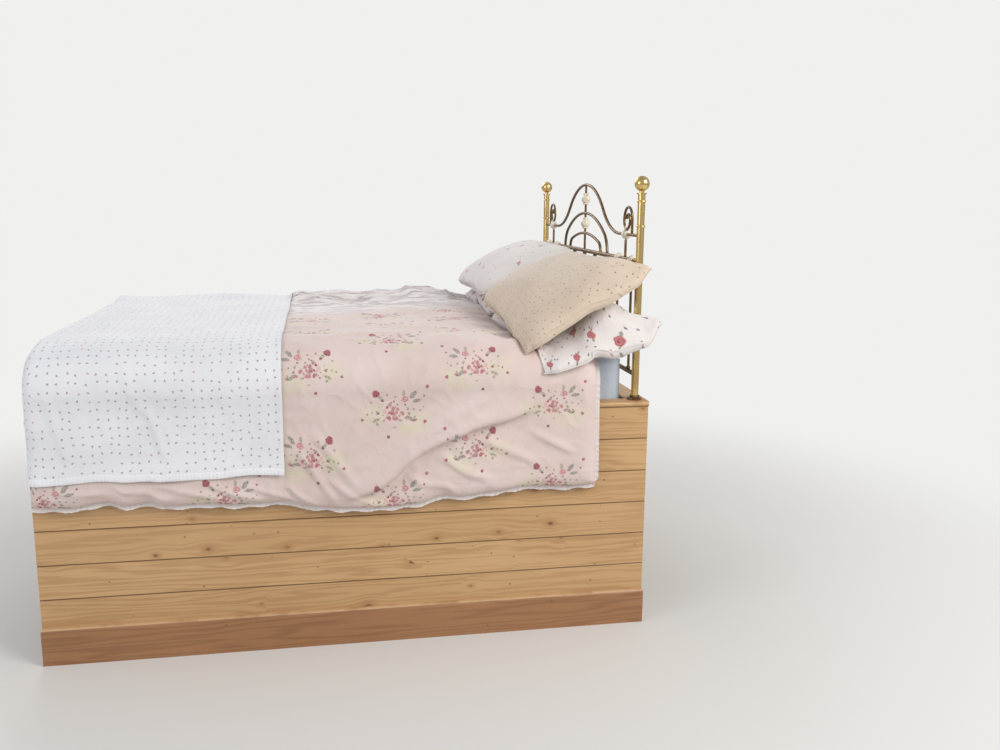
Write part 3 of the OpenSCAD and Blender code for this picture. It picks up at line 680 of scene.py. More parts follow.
STRUT_A, SPINDLE_PITCH = 0.525, 0.150
for a in (-0.600, -0.450, 0.450, 0.600):
    casting(along_rail(a, MID_RAIL_H), RAIL_D)
for a in (-STRUT_A, STRUT_A):
    casting(along_rail(a, SHOULDER_H), ARCH_D)
for z in (1.3745, 1.4695):
    casting(upright_at(0.0, z), SPINDLE_D)
# A small pointed finial on each shoulder's casting, over the strut
for a in (-STRUT_A, STRUT_A):
    tip = [(0.0120, 0.0002), (0.0120, 0.0075), (0.0185, 0.0070), (0.0220, 0.0046),
           (0.0250, 0.0052), (0.0280, 0.0040), (0.0312, 0.0014), (0.0318, 0.0002)]
    turned(castings, tip, upright_at(a, SHOULDER_H), steps=20)
piece("castings", merged(castings), ENAMEL, ["bedhead_knuckles"])

collars = bmesh.new()
RING = [(-0.005, 0.0060), (-0.0035, 0.0074), (0.0, 0.0082), (0.0035, 0.0074), (0.005, 0.0060)]
# The outer spindles end at a casting, which reaches further down than the rail
BOTTOM_RAIL_H, CASTING_H, COLLAR_OFF = 0.880, 1.247, 0.0115
for n in range(-4, 5):
    for z in (BOTTOM_RAIL_H + COLLAR_OFF,
              (CASTING_H if abs(n) >= 3 else MID_RAIL_H) - COLLAR_OFF):
        turned(collars, bored(RING, SPINDLE_D), upright_at(n * SPINDLE_PITCH, z), steps=20)
piece("spindle_collars", merged(collars), BRONZE)

# %% Flange screws
screws = bmesh.new()
HEAD_R, HEAD_H, SLOT_HALF, SLOT_DEEP = 0.0042, 0.0016, 0.0006, 0.0009
CIRCLE_R, FLANGE_TOP = 0.0195, 0.800
for a in (-POST_A, POST_A):
    for n in range(3):
        angle = math.radians(90 + 120 * n)
        head = bmesh.new()
        bmesh.ops.create_circle(head, cap_ends=True, segments=20, radius=HEAD_R)
        rim = verts_of(bmesh.ops.extrude_face_region(head, geom=head.faces[:])["geom"])
        bmesh.ops.translate(head, verts=rim, vec=(0, 0, HEAD_H))
        bmesh.ops.scale(head, verts=rim, vec=(0.72, 0.72, 1))
        for way in (-1, 1):
            bmesh.ops.bisect_plane(head, geom=all_of(head), plane_co=(0, way * SLOT_HALF, 0),
                                   plane_no=(0, way, 0))
        slot = [f for f in head.faces if f.calc_center_median().z > HEAD_H * 0.9
                and abs(f.calc_center_median().y) < SLOT_HALF * 0.8]
        sunk = bmesh.ops.extrude_face_region(head, geom=slot)["geom"]
        bmesh.ops.translate(head, verts=verts_of(sunk), vec=(0, 0, -SLOT_DEEP))
        place = Matrix.Translation((BEDHEAD_X + CIRCLE_R * math.cos(angle),
                                    BEDHEAD_Y + a + CIRCLE_R * math.sin(angle),
                                    FLANGE_TOP - 0.0004))
        bmesh.ops.transform(head, matrix=place @ Matrix.Rotation(0.7 * n, 4, "Z"),
                            verts=head.verts)
        kept = mesh_of("head", head)
        screws.from_mesh(kept)
        bpy.data.meshes.remove(kept)
piece("flange_screws", merged(screws), BRASS)

# %% [markdown]
# ## Plain cottons
#
# Each cotton is a weave, a little sheen and a few soft creases. The creases are too fine to model,
# so they're bump, made where noise passes through its middle value, which draws thin wandering
# lines. The print is a matter of colour alone. It reads the cloth's own UV map, whose units are
# metres of the flat cut, so that a flower keeps its size and bends with the cloth.

# %% Cotton
THREAD = 0.0011
SHEEN = dict(Sheen_Weight=0.25, Sheen_Roughness=0.45)


def weave(finish, at, crease=1.0):
    """A bump of threads and of fine creases."""
    x, y, _ = finish.split(at)
    rows = [(v * (math.tau / THREAD)).sine() for v in (x, y)]
    threads = finish.bump(finish.math("MULTIPLY", *rows), 0.00007, 0.6)
    fold = abs(finish.noise(at, 11, 3, 0.55) - 0.5)
    crimp = abs(finish.noise(at, 46, 2, 0.5) - 0.5)
    height = fold.map(0.09, 0.0) + crimp.map(0.12, 0.0) * 0.22
    return finish.bump(height, 0.0011 * crease, 0.55, threads)


def plain_cotton(name, colour, shade, crease=1.0, at=None):
    finish = Finish(name, **SHEEN)
    place = finish.where() if at is None else finish.cloth()
    slub = finish.noise(finish.place(place, scale=(1.0, 0.06, 1.0)), 160, 2)
    tone = finish.noise(place, 5, 2) * 0.6 + slub * 0.4
    mixed = finish.mix(tone.map(0.3, 0.7), colour, shade)
    return finish.paint(mixed, 0.88, weave(finish, place, crease))


SHEET_COTTON = plain_cotton("sheet cotton", (0.47, 0.53, 0.60), (0.40, 0.46, 0.53), 0.7)
HEM_COTTON = plain_cotton("hem cotton", (0.76, 0.715, 0.70), (0.70, 0.645, 0.63), 0.6, "cloth")
BAND_COTTON = plain_cotton("band cotton", (0.80, 0.80, 0.82), (0.72, 0.72, 0.75), 0.6, "cloth")


STRIPE = 0.032


def ticking():
    finish = Finish("ticking", Sheen_Weight=0.15)
    run = (finish.split(finish.where())[0] / STRIPE).fraction() * STRIPE
    wide = abs(run - 0.010).map(0.0038, 0.0030)
    thin = abs(run - 0.023).map(0.0013, 0.0008)
    line = finish.math("MAXIMUM", wide, thin)
    thread = finish.noise(finish.where(), 900, 1) * 0.5 + 0.6
    stripe = finish.mix(line * thread, (0.72, 0.67, 0.57), (0.16, 0.20, 0.29))
    return finish.paint(stripe, 0.9, weave(finish, finish.where(), 0.3))


TICKING = ticking()
print("plain cottons ready")

# %% [markdown]
# ## The mattress
#
# A sprung mattress is a box of foam and springs in striped ticking, with a cord sewn round its top
# and bottom edges and buttons that pull its faces in. The box is a cube whose upright edges are
# bevelled wide and whose rims are bevelled small. Most of it lies under the sheet, so it needs no
# simulation. The cords are tubes of their own, which keeps the box's faces simple.

# %% Mattress
MATTRESS_LOW, MATTRESS_HIGH = Vector((-0.985, -0.623, 0.730)), Vector((0.915, 0.727, 0.930))
MATTRESS_R = 0.060
middle = (MATTRESS_LOW + MATTRESS_HIGH) / 2
size = MATTRESS_HIGH - MATTRESS_LOW


def tube(shape, path, radius, sides=8):
    """A closed cord along a ring of points."""
    rings = []
    count = len(path)
    for i, at in enumerate(path):
        along = (path[(i + 1) % count] - path[i - 1]).normalized()
        turn = along.to_track_quat("Z", "Y").to_matrix().to_4x4()
        rings.append(edges_at(bmesh.ops.create_circle(
            shape, segments=sides, radius=radius,
            matrix=Matrix.Translation(at) @ turn)["verts"]))
    for one, two in zip(rings, rings[1:] + rings[:1]):
        bmesh.ops.bridge_loops(shape, edges=one + two)
    return shape


def rounded_ring(out, z, step=0.03, corner=10):
    """Points round the mattress's outline, moved out, at one height: as many at any distance."""
    half = size.xy / 2 + Vector((out, out))
    r = max(0.004, MATTRESS_R + out)
    corners = []
    for n, (sx, sy) in enumerate(((1, 1), (-1, 1), (-1, -1), (1, -1))):
        heart = Vector((middle.x + sx * (half.x - r), middle.y + sy * (half.y - r)))
        arc = [math.radians(90 * n + 90 * i / corner) for i in range(corner + 1)]
        corners.append([heart + r * Vector((math.cos(a), math.sin(a))) for a in arc])
    points = []
    for n, arc in enumerate(corners):
        straight = (size.y, size.x)[(n + 1) % 2] - 2 * MATTRESS_R
        cuts = round(straight / step)
        points += arc
        points += [arc[-1].lerp(corners[(n + 1) % 4][0], i / cuts) for i in range(1, cuts)]
    return [Vector((*p, z)) for p in points]


box = bmesh.new()
bmesh.ops.create_cube(box, size=1.0, matrix=Matrix.LocRotScale(middle, None, size))
upright_edges = [e for e in box.edges if abs((e.verts[0].co - e.verts[1].co).z) > 0.1]
bmesh.ops.bevel(box, geom=upright_edges, offset=MATTRESS_R, segments=12, profile=0.5,
                affect="EDGES", material=-1)
rims = [e for e in box.edges if abs((e.verts[0].co - e.verts[1].co).z) < 0.001
        and len(e.link_faces) == 2 and e.calc_face_angle(0) > 1]
bmesh.ops.bevel(box, geom=rims, offset=0.012, segments=4, profile=0.5, affect="EDGES", material=-1)
mattress = piece("mattress_case", box, TICKING, ["mattress"])

cords = bmesh.new()
for z in (MATTRESS_LOW.z + 0.009, MATTRESS_HIGH.z - 0.010):
    tube(cords, rounded_ring(-0.0008, z), 0.0045)
piece("mattress_cords", merged(cords), SHEET_COTTON)

# %% [markdown]
# ## The fitted sheet
#
# A fitted sheet is cut as a rectangle with its corners taken out, and elastic draws its hem in
# round the mattress. It's stretched flat on top, and its sides pucker towards the hem. Rings of
# vertices are drawn from the inside, round the hem and up to the top, and the puckers are pushed
# into the lower rings. Cloth simulation would do the same more slowly, and nothing hangs freely.

# %% Fitted sheet
SHEET_HEM, SHEET_STEP, SHEET_OFF, SHEET_R, SKIN = 0.757, 0.0055, 0.0014, 0.012, 0.0011


def wander(x, y, z):
    """Smooth noise, from -1 to 1."""
    return noise.noise(Vector((x, y, z)))


def drawn(shape, rings):
    """Draws a skin through rings of as many points each, and closes both its ends."""
    number = shape.verts.layers.int.new("number")
    verts = [shape.verts.new(p) for p in rings[0]]
    for i, v in enumerate(verts):
        v[number] = i
    edges = [shape.edges.new(pair) for pair in zip(verts, verts[1:] + verts[:1])]
    bmesh.ops.contextual_create(shape, geom=edges)
    for ring in rings[1:]:
        up = bmesh.ops.extrude_edge_only(shape, edges=edges)["geom"]
        for v in verts_of(up):
            v.co = ring[v[number]]
        edges = edges_of(up)
    bmesh.ops.contextual_create(shape, geom=edges)
    shape.verts.layers.int.remove(number)


def sheet_ring(out, z):
    """A ring of the sheet, with its puckers."""
    ring = rounded_ring(out, z, SHEET_STEP)
    low = max(0.0, 1 - (z - SHEET_HEM) / 0.085)
    moved = []
    for i, p in enumerate(ring):
        away = (ring[(i + 1) % len(ring)] - ring[i - 1]).normalized().cross(Vector((0, 0, 1)))
        gather = 0.5 + 0.5 * math.sin(i * 1.15 + 2.2 * wander(*(p * 9)))
        drag = 0.5 + 0.5 * wander(p.x * 7, p.y * 7, z * 2.2)
        below = min(1.0, (MATTRESS_HIGH.z - z) / 0.03)
        moved.append(p + away * (0.0026 * low ** 1.6 * gather + 0.0018 * drag * below))
    return moved


sheet = bmesh.new()
sides = [(SHEET_OFF, SHEET_HEM + 0.170 * (n / 16) ** 0.8 * 0.94) for n in range(17)]
over = [(SHEET_OFF - SHEET_R + SHEET_R * math.cos(a),
         MATTRESS_HIGH.z - 0.0112 + SHEET_R * math.sin(a))
        for a in (0.3, 0.6, 0.9, 1.2, math.pi / 2)]
flat = [(-g, over[-1][1]) for g in (0.03, 0.06, 0.12, 0.22, 0.36, 0.52)]
profile = sides + over + flat
outside = [sheet_ring(g, z) for g, z in profile]
inside = [sheet_ring(g - (SKIN if z < over[-1][1] - 0.001 else 0),
                     z - (0 if z < over[0][1] else SKIN * 0.9)) for g, z in profile]
drawn(sheet, inside[::-1] + outside)
fitted = piece("fitted_sheet_cloth", merged(sheet), SHEET_COTTON,
               ["fitted_sheet"])

# %% [markdown]
# ## How the covers lie
#
# The duvet and the throw lie on the bed, turn down over its front edge and hang there. A place in
# a cover has two numbers: x along the bed, and u across it, from the far edge over the bed and
# down. One function sends such a place to the room, so folds can be drawn on the flat cover and
# are bent with it. Each fold here was set where a fold of the real cover lies: the heavy crease
# over the drawn-up cloth, the bunched far edge and the slack below the throw.

# %% Places on the covers
COVER_FOOT, COVER_HEAD, THROW_END = -0.985, 0.800, -0.225
FAR_Y, LIE_H = 0.727, 0.9326
TURN_Y, TURN_H, TURN_R = -0.6253, 0.8699, 0.0627
FLAT_U = FAR_Y - TURN_Y
TURN_U = TURN_R * math.pi / 2
HANG_Y = TURN_Y - TURN_R
HEM_U, THROW_U = 1.8147, 1.7107
HEM_FLARE, FOLD_DEEP, FOLD_PITCH = 0.012, 0.005, 0.430


def smooth(t):
    t = min(1.0, max(0.0, t))
    return t * t * (3 - 2 * t)


def rounded(d, w):
    t = min(1.0, max(0.0, d / w))
    return math.sqrt(1 - (1 - t) ** 2)


def cover_point(x, u, off, drop=0.0):
    """A place in a cover, at a distance off above the smooth bed, and let down by drop."""
    if u <= FLAT_U:
        return Vector((x, FAR_Y - u, LIE_H + off))
    if u <= FLAT_U + TURN_U:
        a = (u - FLAT_U) / TURN_R
        return Vector((x, TURN_Y - (TURN_R + off) * math.sin(a),
                       TURN_H + (TURN_R + off) * math.cos(a)))
    down = smooth((u - FLAT_U - TURN_U) / (HEM_U - FLAT_U - TURN_U))
    wave = math.cos(math.tau * x / FOLD_PITCH)
    out = down * (HEM_FLARE - FOLD_DEEP + FOLD_DEEP * wave)
    return Vector((x, HANG_Y - off - out, TURN_H - (u - FLAT_U - TURN_U) - drop))


HEM_LINE = [(-0.985, 1.798), (-0.870, 1.803), (-0.763, 1.789), (-0.704, 1.806), (-0.637, 1.796),
            (-0.599, 1.812), (-0.464, 1.808), (-0.383, 1.816), (-0.224, 1.814), (-0.161, 1.834),
            (-0.033, 1.845), (0.082, 1.849), (0.200, 1.844), (0.291, 1.818), (0.333, 1.826),
            (0.450, 1.812), (0.560, 1.800), (0.700, 1.808), (0.800, 1.801)]


def along_table(table, x):
    for (x0, v0), (x1, v1) in zip(table, table[1:]):
        if x <= x1:
            return v0 + (v1 - v0) * smooth((x - x0) / (x1 - x0))
    return table[-1][1]


def hem_drop(x, u):
    """How far the cloth is let down, so that the hem wanders as the real one does."""
    return (along_table(HEM_LINE, x) - HEM_U) * smooth((u - FLAT_U - TURN_U) / 0.36)


print("the duvet hangs from u", round(FLAT_U + TURN_U, 3), "to", HEM_U)

# %% Folds of the duvet
DUVET_LOFT, DRAPE_LOFT, DUVET_EDGE = 0.088, 0.034, 0.004
CREASE = [(0.600, 1.530), (0.510, 1.555), (0.377, 1.582), (0.289, 1.620), (0.215, 1.640),
          (0.172, 1.668), (0.128, 1.705), (0.069, 1.742), (-0.003, 1.768), (-0.089, 1.790)]
# Each fold: from x, u to x, u, its half width and its height
FOLDS = [
    (0.64, 1.10, 0.36, 1.27, 0.040, 0.010), (0.66, 1.22, 0.44, 1.44, 0.034, 0.009),
    (0.58, 0.96, 0.24, 1.05, 0.045, 0.007), (0.70, 1.34, 0.55, 1.56, 0.030, 0.007),
    (0.30, 1.40, 0.05, 1.58, 0.050, 0.006), (0.46, 1.47, 0.20, 1.60, 0.030, 0.007),
    (-0.19, 1.62, -0.06, 1.80, 0.020, 0.008), (-0.15, 1.56, 0.02, 1.76, 0.024, 0.007),
    (-0.12, 1.70, 0.10, 1.83, 0.016, 0.006), (0.02, 1.79, 0.24, 1.83, 0.014, 0.006),
    (-0.76, 1.745, -0.55, 1.795, 0.016, 0.007), (-0.62, 1.735, -0.40, 1.800, 0.015, 0.007),
    (-0.48, 1.735, -0.28, 1.805, 0.014, 0.007), (-0.36, 1.740, -0.17, 1.815, 0.013, 0.006),
    (-0.93, 1.750, -0.74, 1.785, 0.014, 0.006), (-0.24, 1.745, -0.08, 1.830, 0.014, 0.007),
    (0.16, 1.72, 0.34, 1.80, 0.018, 0.008), (0.24, 1.66, 0.46, 1.78, 0.022, 0.008),
    (0.40, 1.62, 0.62, 1.74, 0.024, 0.008), (0.55, 1.60, 0.74, 1.70, 0.022, 0.007),
    (-0.16, 0.42, 0.30, 0.36, 0.026, 0.006), (0.10, 0.50, 0.52, 0.46, 0.028, 0.006),
    (0.30, 0.62, 0.62, 0.74, 0.034, 0.006), (-0.10, 1.30, 0.12, 1.36, 0.030, 0.004),
]


def from_line(x, u, start, end):
    """Distance from a line with its sign, and how far along it that is, from 0 to 1."""
    dx, du = end[0] - start[0], end[1] - start[1]
    long = math.hypot(dx, du)
    t = ((x - start[0]) * dx + (u - start[1]) * du) / long ** 2
    kept = min(1.0, max(0.0, t))
    away = math.hypot(x - start[0] - kept * dx, u - start[1] - kept * du)
    side = (x - start[0]) * du - (u - start[1]) * dx
    return math.copysign(away, side), kept


def near_crease(x, u):
    """Signed distance from the heavy crease, less than 0 above it, and its strength there."""
    best, where = 9.0, 0.0
    for n, (start, end) in enumerate(zip(CREASE, CREASE[1:])):
        away, t = from_line(x, u, start, end)
        if abs(away) < abs(best):
            best, where = away, (n + t) / (len(CREASE) - 1)
    return best, smooth(where / 0.14) * smooth((1 - where) / 0.24)


def crease(x, u):
    """The heavy crease: the cloth swells down to it and falls back below it."""
    away, strength = near_crease(x, u)
    over = 1 / (1 + math.exp(away / 0.0040))
    return strength * (0.026 * over * math.exp(min(0.0, away) / 0.075)
                       - 0.019 * (1 - over) * math.exp(-max(0.0, away) / 0.085))


def lip(x, u):
    """How far the cloth above the crease is let down over the cloth below it."""
    if not (-0.2 < x < 0.7 and 1.45 < u < HEM_U):
        return 0.0
    away, strength = near_crease(x, u)
    return strength * (0.013 * math.exp(away / 0.022 if away < 0 else -away / 0.007))


def ridged(x, y, seed):
    """Thin wandering ridges from 0 to 1."""
    bend = wander(x * 0.6, y * 0.6, seed + 3.1)
    value = wander(x + 0.5 * bend, y + 0.9 * bend, seed)
    return (1 - min(1.0, abs(value) * 2.6)) ** 2


def under_throw(x):
    return 1 - smooth((x - THROW_END + 0.02) / 0.03)


def fold_height(x, u, fold, ends):
    """Height of one fold, which ends softly: the greater the number ends, the more abruptly."""
    x0, u0, x1, u1, wide, tall = fold
    if not (min(x0, x1) - wide < x < max(x0, x1) + wide
            and min(u0, u1) - wide < u < max(u0, u1) + wide):
        return 0.0
    away, t = from_line(x, u, (x0, u0), (x1, u1))
    round_top = max(0.0, 1 - (away / wide) ** 2) ** 2
    return tall * round_top * smooth(ends * t) * smooth(ends * (1 - t))


def duvet_folds(x, u):
    """Height of the duvet's folds above its plain loft."""
    high = crease(x, u)
    for fold in FOLDS:
        high += fold_height(x, u, fold, 4)
    # The cloth bunched up along the far edge
    bunch = (smooth((x + 0.27) / 0.08) * (1 - smooth((x - 0.42) / 0.24))
             * smooth((0.46 - u) / 0.20) * smooth(u / 0.03))
    slant = u + 0.10 * x
    mound = 0.008 * smooth((u - 0.01) / 0.10) * (1 - smooth((u - 0.12) / 0.30))
    high += bunch * (mound + 0.022 * ridged(x / 0.60, slant / 0.082, 1.7)
                     + 0.013 * ridged(x / 0.34, slant / 0.044, 5.2)
                     + 0.024 * wander(x / 0.12, u / 0.22, 7.7))
    # Small creases everywhere, and slanting ones where the cloth hangs
    top = 1 - smooth((u - FLAT_U + 0.05) / 0.15)
    high += (0.0060 * ridged(x / 0.22, u / 0.17, 8.4)
             + 0.0032 * ridged(x / 0.09, u / 0.075, 4.9)) * (0.75 + 0.25 * top)
    high += 0.0030 * (1 - top) * ridged((x + 0.55 * u) / 0.085, (u - 0.4 * x) / 0.30, 2.6)
    return high


def duvet_top(x, u):
    """Height of the duvet's upper face above the smooth bed."""
    hang = smooth((u - FLAT_U + 0.080) / (TURN_U + 0.160))
    full = DUVET_LOFT + (DRAPE_LOFT - DUVET_LOFT) * hang
    puff = ((1 - hang) * 0.005 * math.sin(math.tau * x / 0.610 + math.radians(30))
            * math.sin(math.tau * u / 0.540 + math.radians(60)))
    roll = 0.012 * smooth(u / 0.060) * (1 - smooth((u - 0.060) / 0.160))
    from_foot = 0.420 - 0.090 * (1 - smooth((u - 0.45) / 0.30))
    pressed = 1 - 0.62 * (1 - hang) * smooth((x - COVER_HEAD + from_foot) / 0.300)
    edge = min(rounded(u, 0.070), rounded(HEM_U - u, 0.045), rounded(x - COVER_FOOT, 0.040),
               rounded(COVER_HEAD - x, 0.055))
    folds = duvet_folds(x, u) * (1 - 0.75 * under_throw(x) * (1 - smooth((u - THROW_U) / 0.02)))
    return DUVET_EDGE + (full * pressed + puff + roll + folds - DUVET_EDGE) * edge


print("folds drawn:", len(FOLDS))

# %% Sheets between two faces


def run_table(values, place):
    """Pairs of a value and the length of cloth up to it, along a row of places."""
    table, run, last = [], 0.0, None
    for value in values:
        here = place(value)
        run += (here - last).length if last else 0.0
        table.append((value, run))
        last = here
    return table


def length_at(table, value):
    share = (value - table[0][0]) / (table[-1][0] - table[0][0]) * (len(table) - 1)
    n = min(len(table) - 2, max(0, int(share)))
    return table[n][1] + (share - n) * (table[n + 1][1] - table[n][1])


# The cloth is measured over the loft along one row each way, where it has no heavy fold
ROW_STEPS, PLAIN_X, PLAIN_U, FIXED_U = 300, -0.50, 0.60, 1.60
COVER_LONG = COVER_HEAD - COVER_FOOT
X_RUN = run_table([COVER_FOOT + COVER_LONG * n / ROW_STEPS for n in range(ROW_STEPS + 1)],
                  lambda x: cover_point(x, PLAIN_U, duvet_top(x, PLAIN_U)))
U_RUN = run_table([HEM_U * n / ROW_STEPS for n in range(ROW_STEPS + 1)],
                  lambda u: cover_point(PLAIN_X, u, duvet_top(PLAIN_X, u)))


def on_cloth(x, u):
    """Where a place in a cover lies on the cloth, in metres; the hanging front keeps its u."""
    return (length_at(X_RUN, x) - length_at(X_RUN, 0.0),
            length_at(U_RUN, u) - length_at(U_RUN, FIXED_U) + FIXED_U)


def between(shape, nx, ny, cut, upper, lower, plain_below=False, flat_at=None):
    """A closed sheet between two faces. cut sends 0..1, 0..1 to a place in the flat cloth."""
    mark = shape.verts.layers.float_vector.new("cut")
    bmesh.ops.create_grid(shape, x_segments=nx, y_segments=ny, size=0.5)
    for v in shape.verts:
        v[mark] = Vector((*cut(v.co.x + 0.5, v.co.y + 0.5), 0))
    copied = bmesh.ops.duplicate(shape, geom=all_of(shape))["geom"]
    lower_verts = verts_of(copied)
    low = set(lower_verts)
    for v in shape.verts:
        v.co = (lower if v in low else upper)(*v[mark].xy)
    if plain_below:
        bmesh.ops.dissolve_limit(shape, angle_limit=math.radians(0.5),
                                 verts=[v for v in lower_verts if not v.is_boundary],
                                 edges=[e for e in edges_of(copied) if not e.is_boundary])
    bmesh.ops.bridge_loops(shape, edges=[e for e in shape.edges if e.is_boundary])
    bmesh.ops.recalc_face_normals(shape, faces=shape.faces)
    return lay_flat(shape, flat_at)


def lay_flat(shape, flat_at=None):
    """Writes the places in the cut to the UV map called cloth."""
    mark = shape.verts.layers.float_vector["cut"]
    flat = shape.loops.layers.uv.new("cloth")
    for face in shape.faces:
        for loop in face.loops:
            place = loop.vert[mark].xy
            loop[flat].uv = flat_at(*place) if flat_at else place
    shape.verts.layers.float_vector.remove(mark)
    return shape


print("sheet maker ready; the duvet's cloth measures",
      [round(b - a, 3) for a, b in zip(on_cloth(COVER_FOOT, 0), on_cloth(COVER_HEAD, HEM_U))], "m")

# %% [markdown]
# ## Printed cottons
#
# The prints are small flowers of no particular plant. A print repeats, so one cell of it is enough:
# the duvet's bouquets stand in a half-drop repeat, where every second column starts half a cell
# lower, and the smaller sprigs stand one to a Voronoi cell. Each blot is the distance from its
# centre with a soft limit. A few warped and broken edges make it look printed and not cut out.

# %% Print helpers


def one_to_a_cell(finish, at, pitch, loose, shift=0.0):
    """How far a point lies from its cell's centre, and three random numbers for the cell."""
    at = finish.place(at, (shift, 0.6 * shift, 0))
    centre, drawn = finish.cells(at, pitch, loose, "2D")
    return finish.vector("SUBTRACT", at, centre), drawn


def blot(finish, away, place, radii, turn=0.0, soft=0.22):
    """An oval blot, 1 inside and 0 outside."""
    share = finish.place(away, (*place, 0), turn, (*radii, 1)).length()
    return share.map(1 + soft, 1 - soft)


def petals(finish, away, radius, count, cut=0.22, soft=0.12):
    """A flower's outline, and the share of its radius at each point, curled into a spiral."""
    x, y, _ = finish.split(away)
    around = finish.math("ARCTAN2", y, x)
    lobe = (around * float(count)).cosine()
    edge = lobe * (cut * radius / 2) + radius * (1 - cut / 2)
    share = away.length() / edge
    curl = (share * 11.0 + around).sine()
    return share.map(1 + soft, 1 - soft), curl.map(-0.5, 0.9)


def warped(finish, at, amount, scale=140):
    stir = finish.vector("SUBTRACT", finish.noise(at, scale, 2, 0.6, "Color"), (0.5, 0.5, 0.5))
    return finish.vector("ADD", at, finish.vector("MULTIPLY", stir, (amount, amount, 0)))


print("print helpers ready")

# %% Duvet print
DROP_X, DROP_Y = 0.265, 0.275
ROSE, RED, DARK = (0.43, 0.130, 0.165), (0.29, 0.028, 0.058), (0.17, 0.035, 0.050)
CRIMSON, WINE = (0.36, 0.055, 0.085), (0.20, 0.012, 0.032)
BLUSH, HAZE = (0.64, 0.36, 0.36), (0.62, 0.60, 0.40)
LEAF, OLIVE = (0.115, 0.145, 0.110), (0.25, 0.25, 0.15)
# Place in the bouquet, radii, turn and colour
HAZES = [((0.058, -0.050), (0.050, 0.030), 0.3, HAZE),
         ((-0.072, -0.014), (0.044, 0.028), 0.0, HAZE),
         ((0.006, 0.052), (0.044, 0.024), 0.1, (0.66, 0.50, 0.46))]
# Loose pieces of petal and leaf: the pitch of their cells, their size, the bouquet's radii and
# centre, and three colours
LOOSE = [(0.0120, 0.0062, (0.042, 0.034), (0.004, -0.002), (BLUSH, ROSE, RED)),
         (0.0145, 0.0043, (0.076, 0.054), (0.000, -0.010), (ROSE, OLIVE, DARK)),
         (0.0220, 0.0034, (0.112, 0.082), (0.000, 0.000), (OLIVE, RED, DARK))]
LEAVES = [((0.060, 0.046), (0.0165, 0.0066), 0.9, LEAF),
          ((0.072, 0.026), (0.0150, 0.0056), 0.2, LEAF),
          ((-0.042, 0.034), (0.0130, 0.0052), 2.4, OLIVE),
          ((0.030, 0.050), (0.0120, 0.0046), 1.6, OLIVE),
          ((0.052, -0.030), (0.0135, 0.0054), -0.6, LEAF),
          ((-0.060, -0.032), (0.0115, 0.0046), 0.5, OLIVE)]
# Place, radius, and the colours of its light and its dark petals
BUDS = [((-0.058, 0.050), 0.0125, CRIMSON, WINE), ((0.034, 0.032), 0.0115, BLUSH, ROSE),
        ((0.098, -0.040), 0.0062, ROSE, RED), ((-0.102, -0.030), 0.0052, ROSE, DARK),
        ((-0.020, -0.080), 0.0058, RED, DARK), ((0.104, 0.072), 0.0060, ROSE, RED)]


def duvet_cotton():
    finish = Finish("duvet cotton", **SHEEN)
    at = finish.cloth()
    x, u, _ = finish.split(at)
    column = (x + 2.13) / DROP_X
    odd = finish.math("MODULO", column.floor(), 2.0)
    row = odd * 0.5 + u / DROP_Y
    local_x = (column.fraction() - 0.5) * (odd * (-2 * DROP_X) + DROP_X)
    local_u = (row.fraction() - 0.5) * -DROP_Y
    here = warped(finish, finish.join(local_x, local_u), 0.0075, 130)
    colour = finish.mix(finish.noise(at, 4, 2).map(0.3, 0.7), (0.672, 0.560, 0.530),
                        (0.625, 0.505, 0.470))
    broken = finish.noise(at, 260, 3, 0.7).map(0.40, 0.58)
    wash = finish.noise(at, 48, 3).map(0.34, 0.62)
    for place, radii, turn, tint in HAZES:
        amount = blot(finish, here, place, radii, turn, 0.6) * (wash * 0.60)
        colour = finish.mix(amount, colour, tint)
    for place, radii, turn, tint in LEAVES:
        amount = blot(finish, here, place, radii, turn) * (broken * 0.55 + 0.28)
        colour = finish.mix(amount, colour, tint)
    for n, (pitch, size, wide, place, tints) in enumerate(LOOSE):
        away, drawn = one_to_a_cell(finish, here, pitch, 0.95, 0.37 * n)
        reach = finish.place(here, (*place, 0), 0.0, (*wide, 1)).length()
        there = drawn[2] < reach.map(1.15, 0.1, 0.0, 0.92)
        share = away.length() / (drawn[1] * (0.7 * size) + 0.6 * size)
        tint = finish.mix(drawn[0] > 0.46, tints[0], tints[1])
        tint = finish.mix(drawn[0] > 0.80, tint, tints[2])
        amount = share.map(1.2, 0.75) * (there * 0.74)
        colour = finish.mix(amount, colour, tint)
    for place, radius, pale, deep in BUDS:
        away = finish.place(here, (*place, 0))
        shape, curl = petals(finish, away, radius, 3, 0.16)
        amount = shape * (broken * 0.20 + 0.74)
        colour = finish.mix(amount, colour, finish.mix(curl, pale, deep))
    # Along the far edge the drawn-up cloth is coloured paler
    stirred = finish.noise(at, 7, 3) * 0.22 + (x * 0.45 + u)
    paler_far_edge = stirred.map(0.84, 0.54) * x.map(-0.29, -0.20)
    colour = finish.mix(paler_far_edge * 0.86, colour, (0.765, 0.735, 0.725))
    # and lies in long gathers, whose valleys get painted shade as well as a dip in the bump
    along = finish.noise(finish.place(at, turn=-0.09, scale=(0.34, 0.052, 1.0)), 1.0, 2, 0.55)
    valley = paler_far_edge * abs(along - 0.5).map(0.050, 0.0)
    colour = finish.mix(valley * 0.50, colour, (0.40, 0.34, 0.33))
    gathers = finish.bump(1.0 - valley, 0.0060, 0.9, weave(finish, at, 1.0))
    return finish.paint(colour, 0.88, gathers)


DUVET_COTTON = duvet_cotton()
print("duvet print repeats each", DROP_X, "x", DROP_Y, "m")

# %% Throw, sprig and floral prints


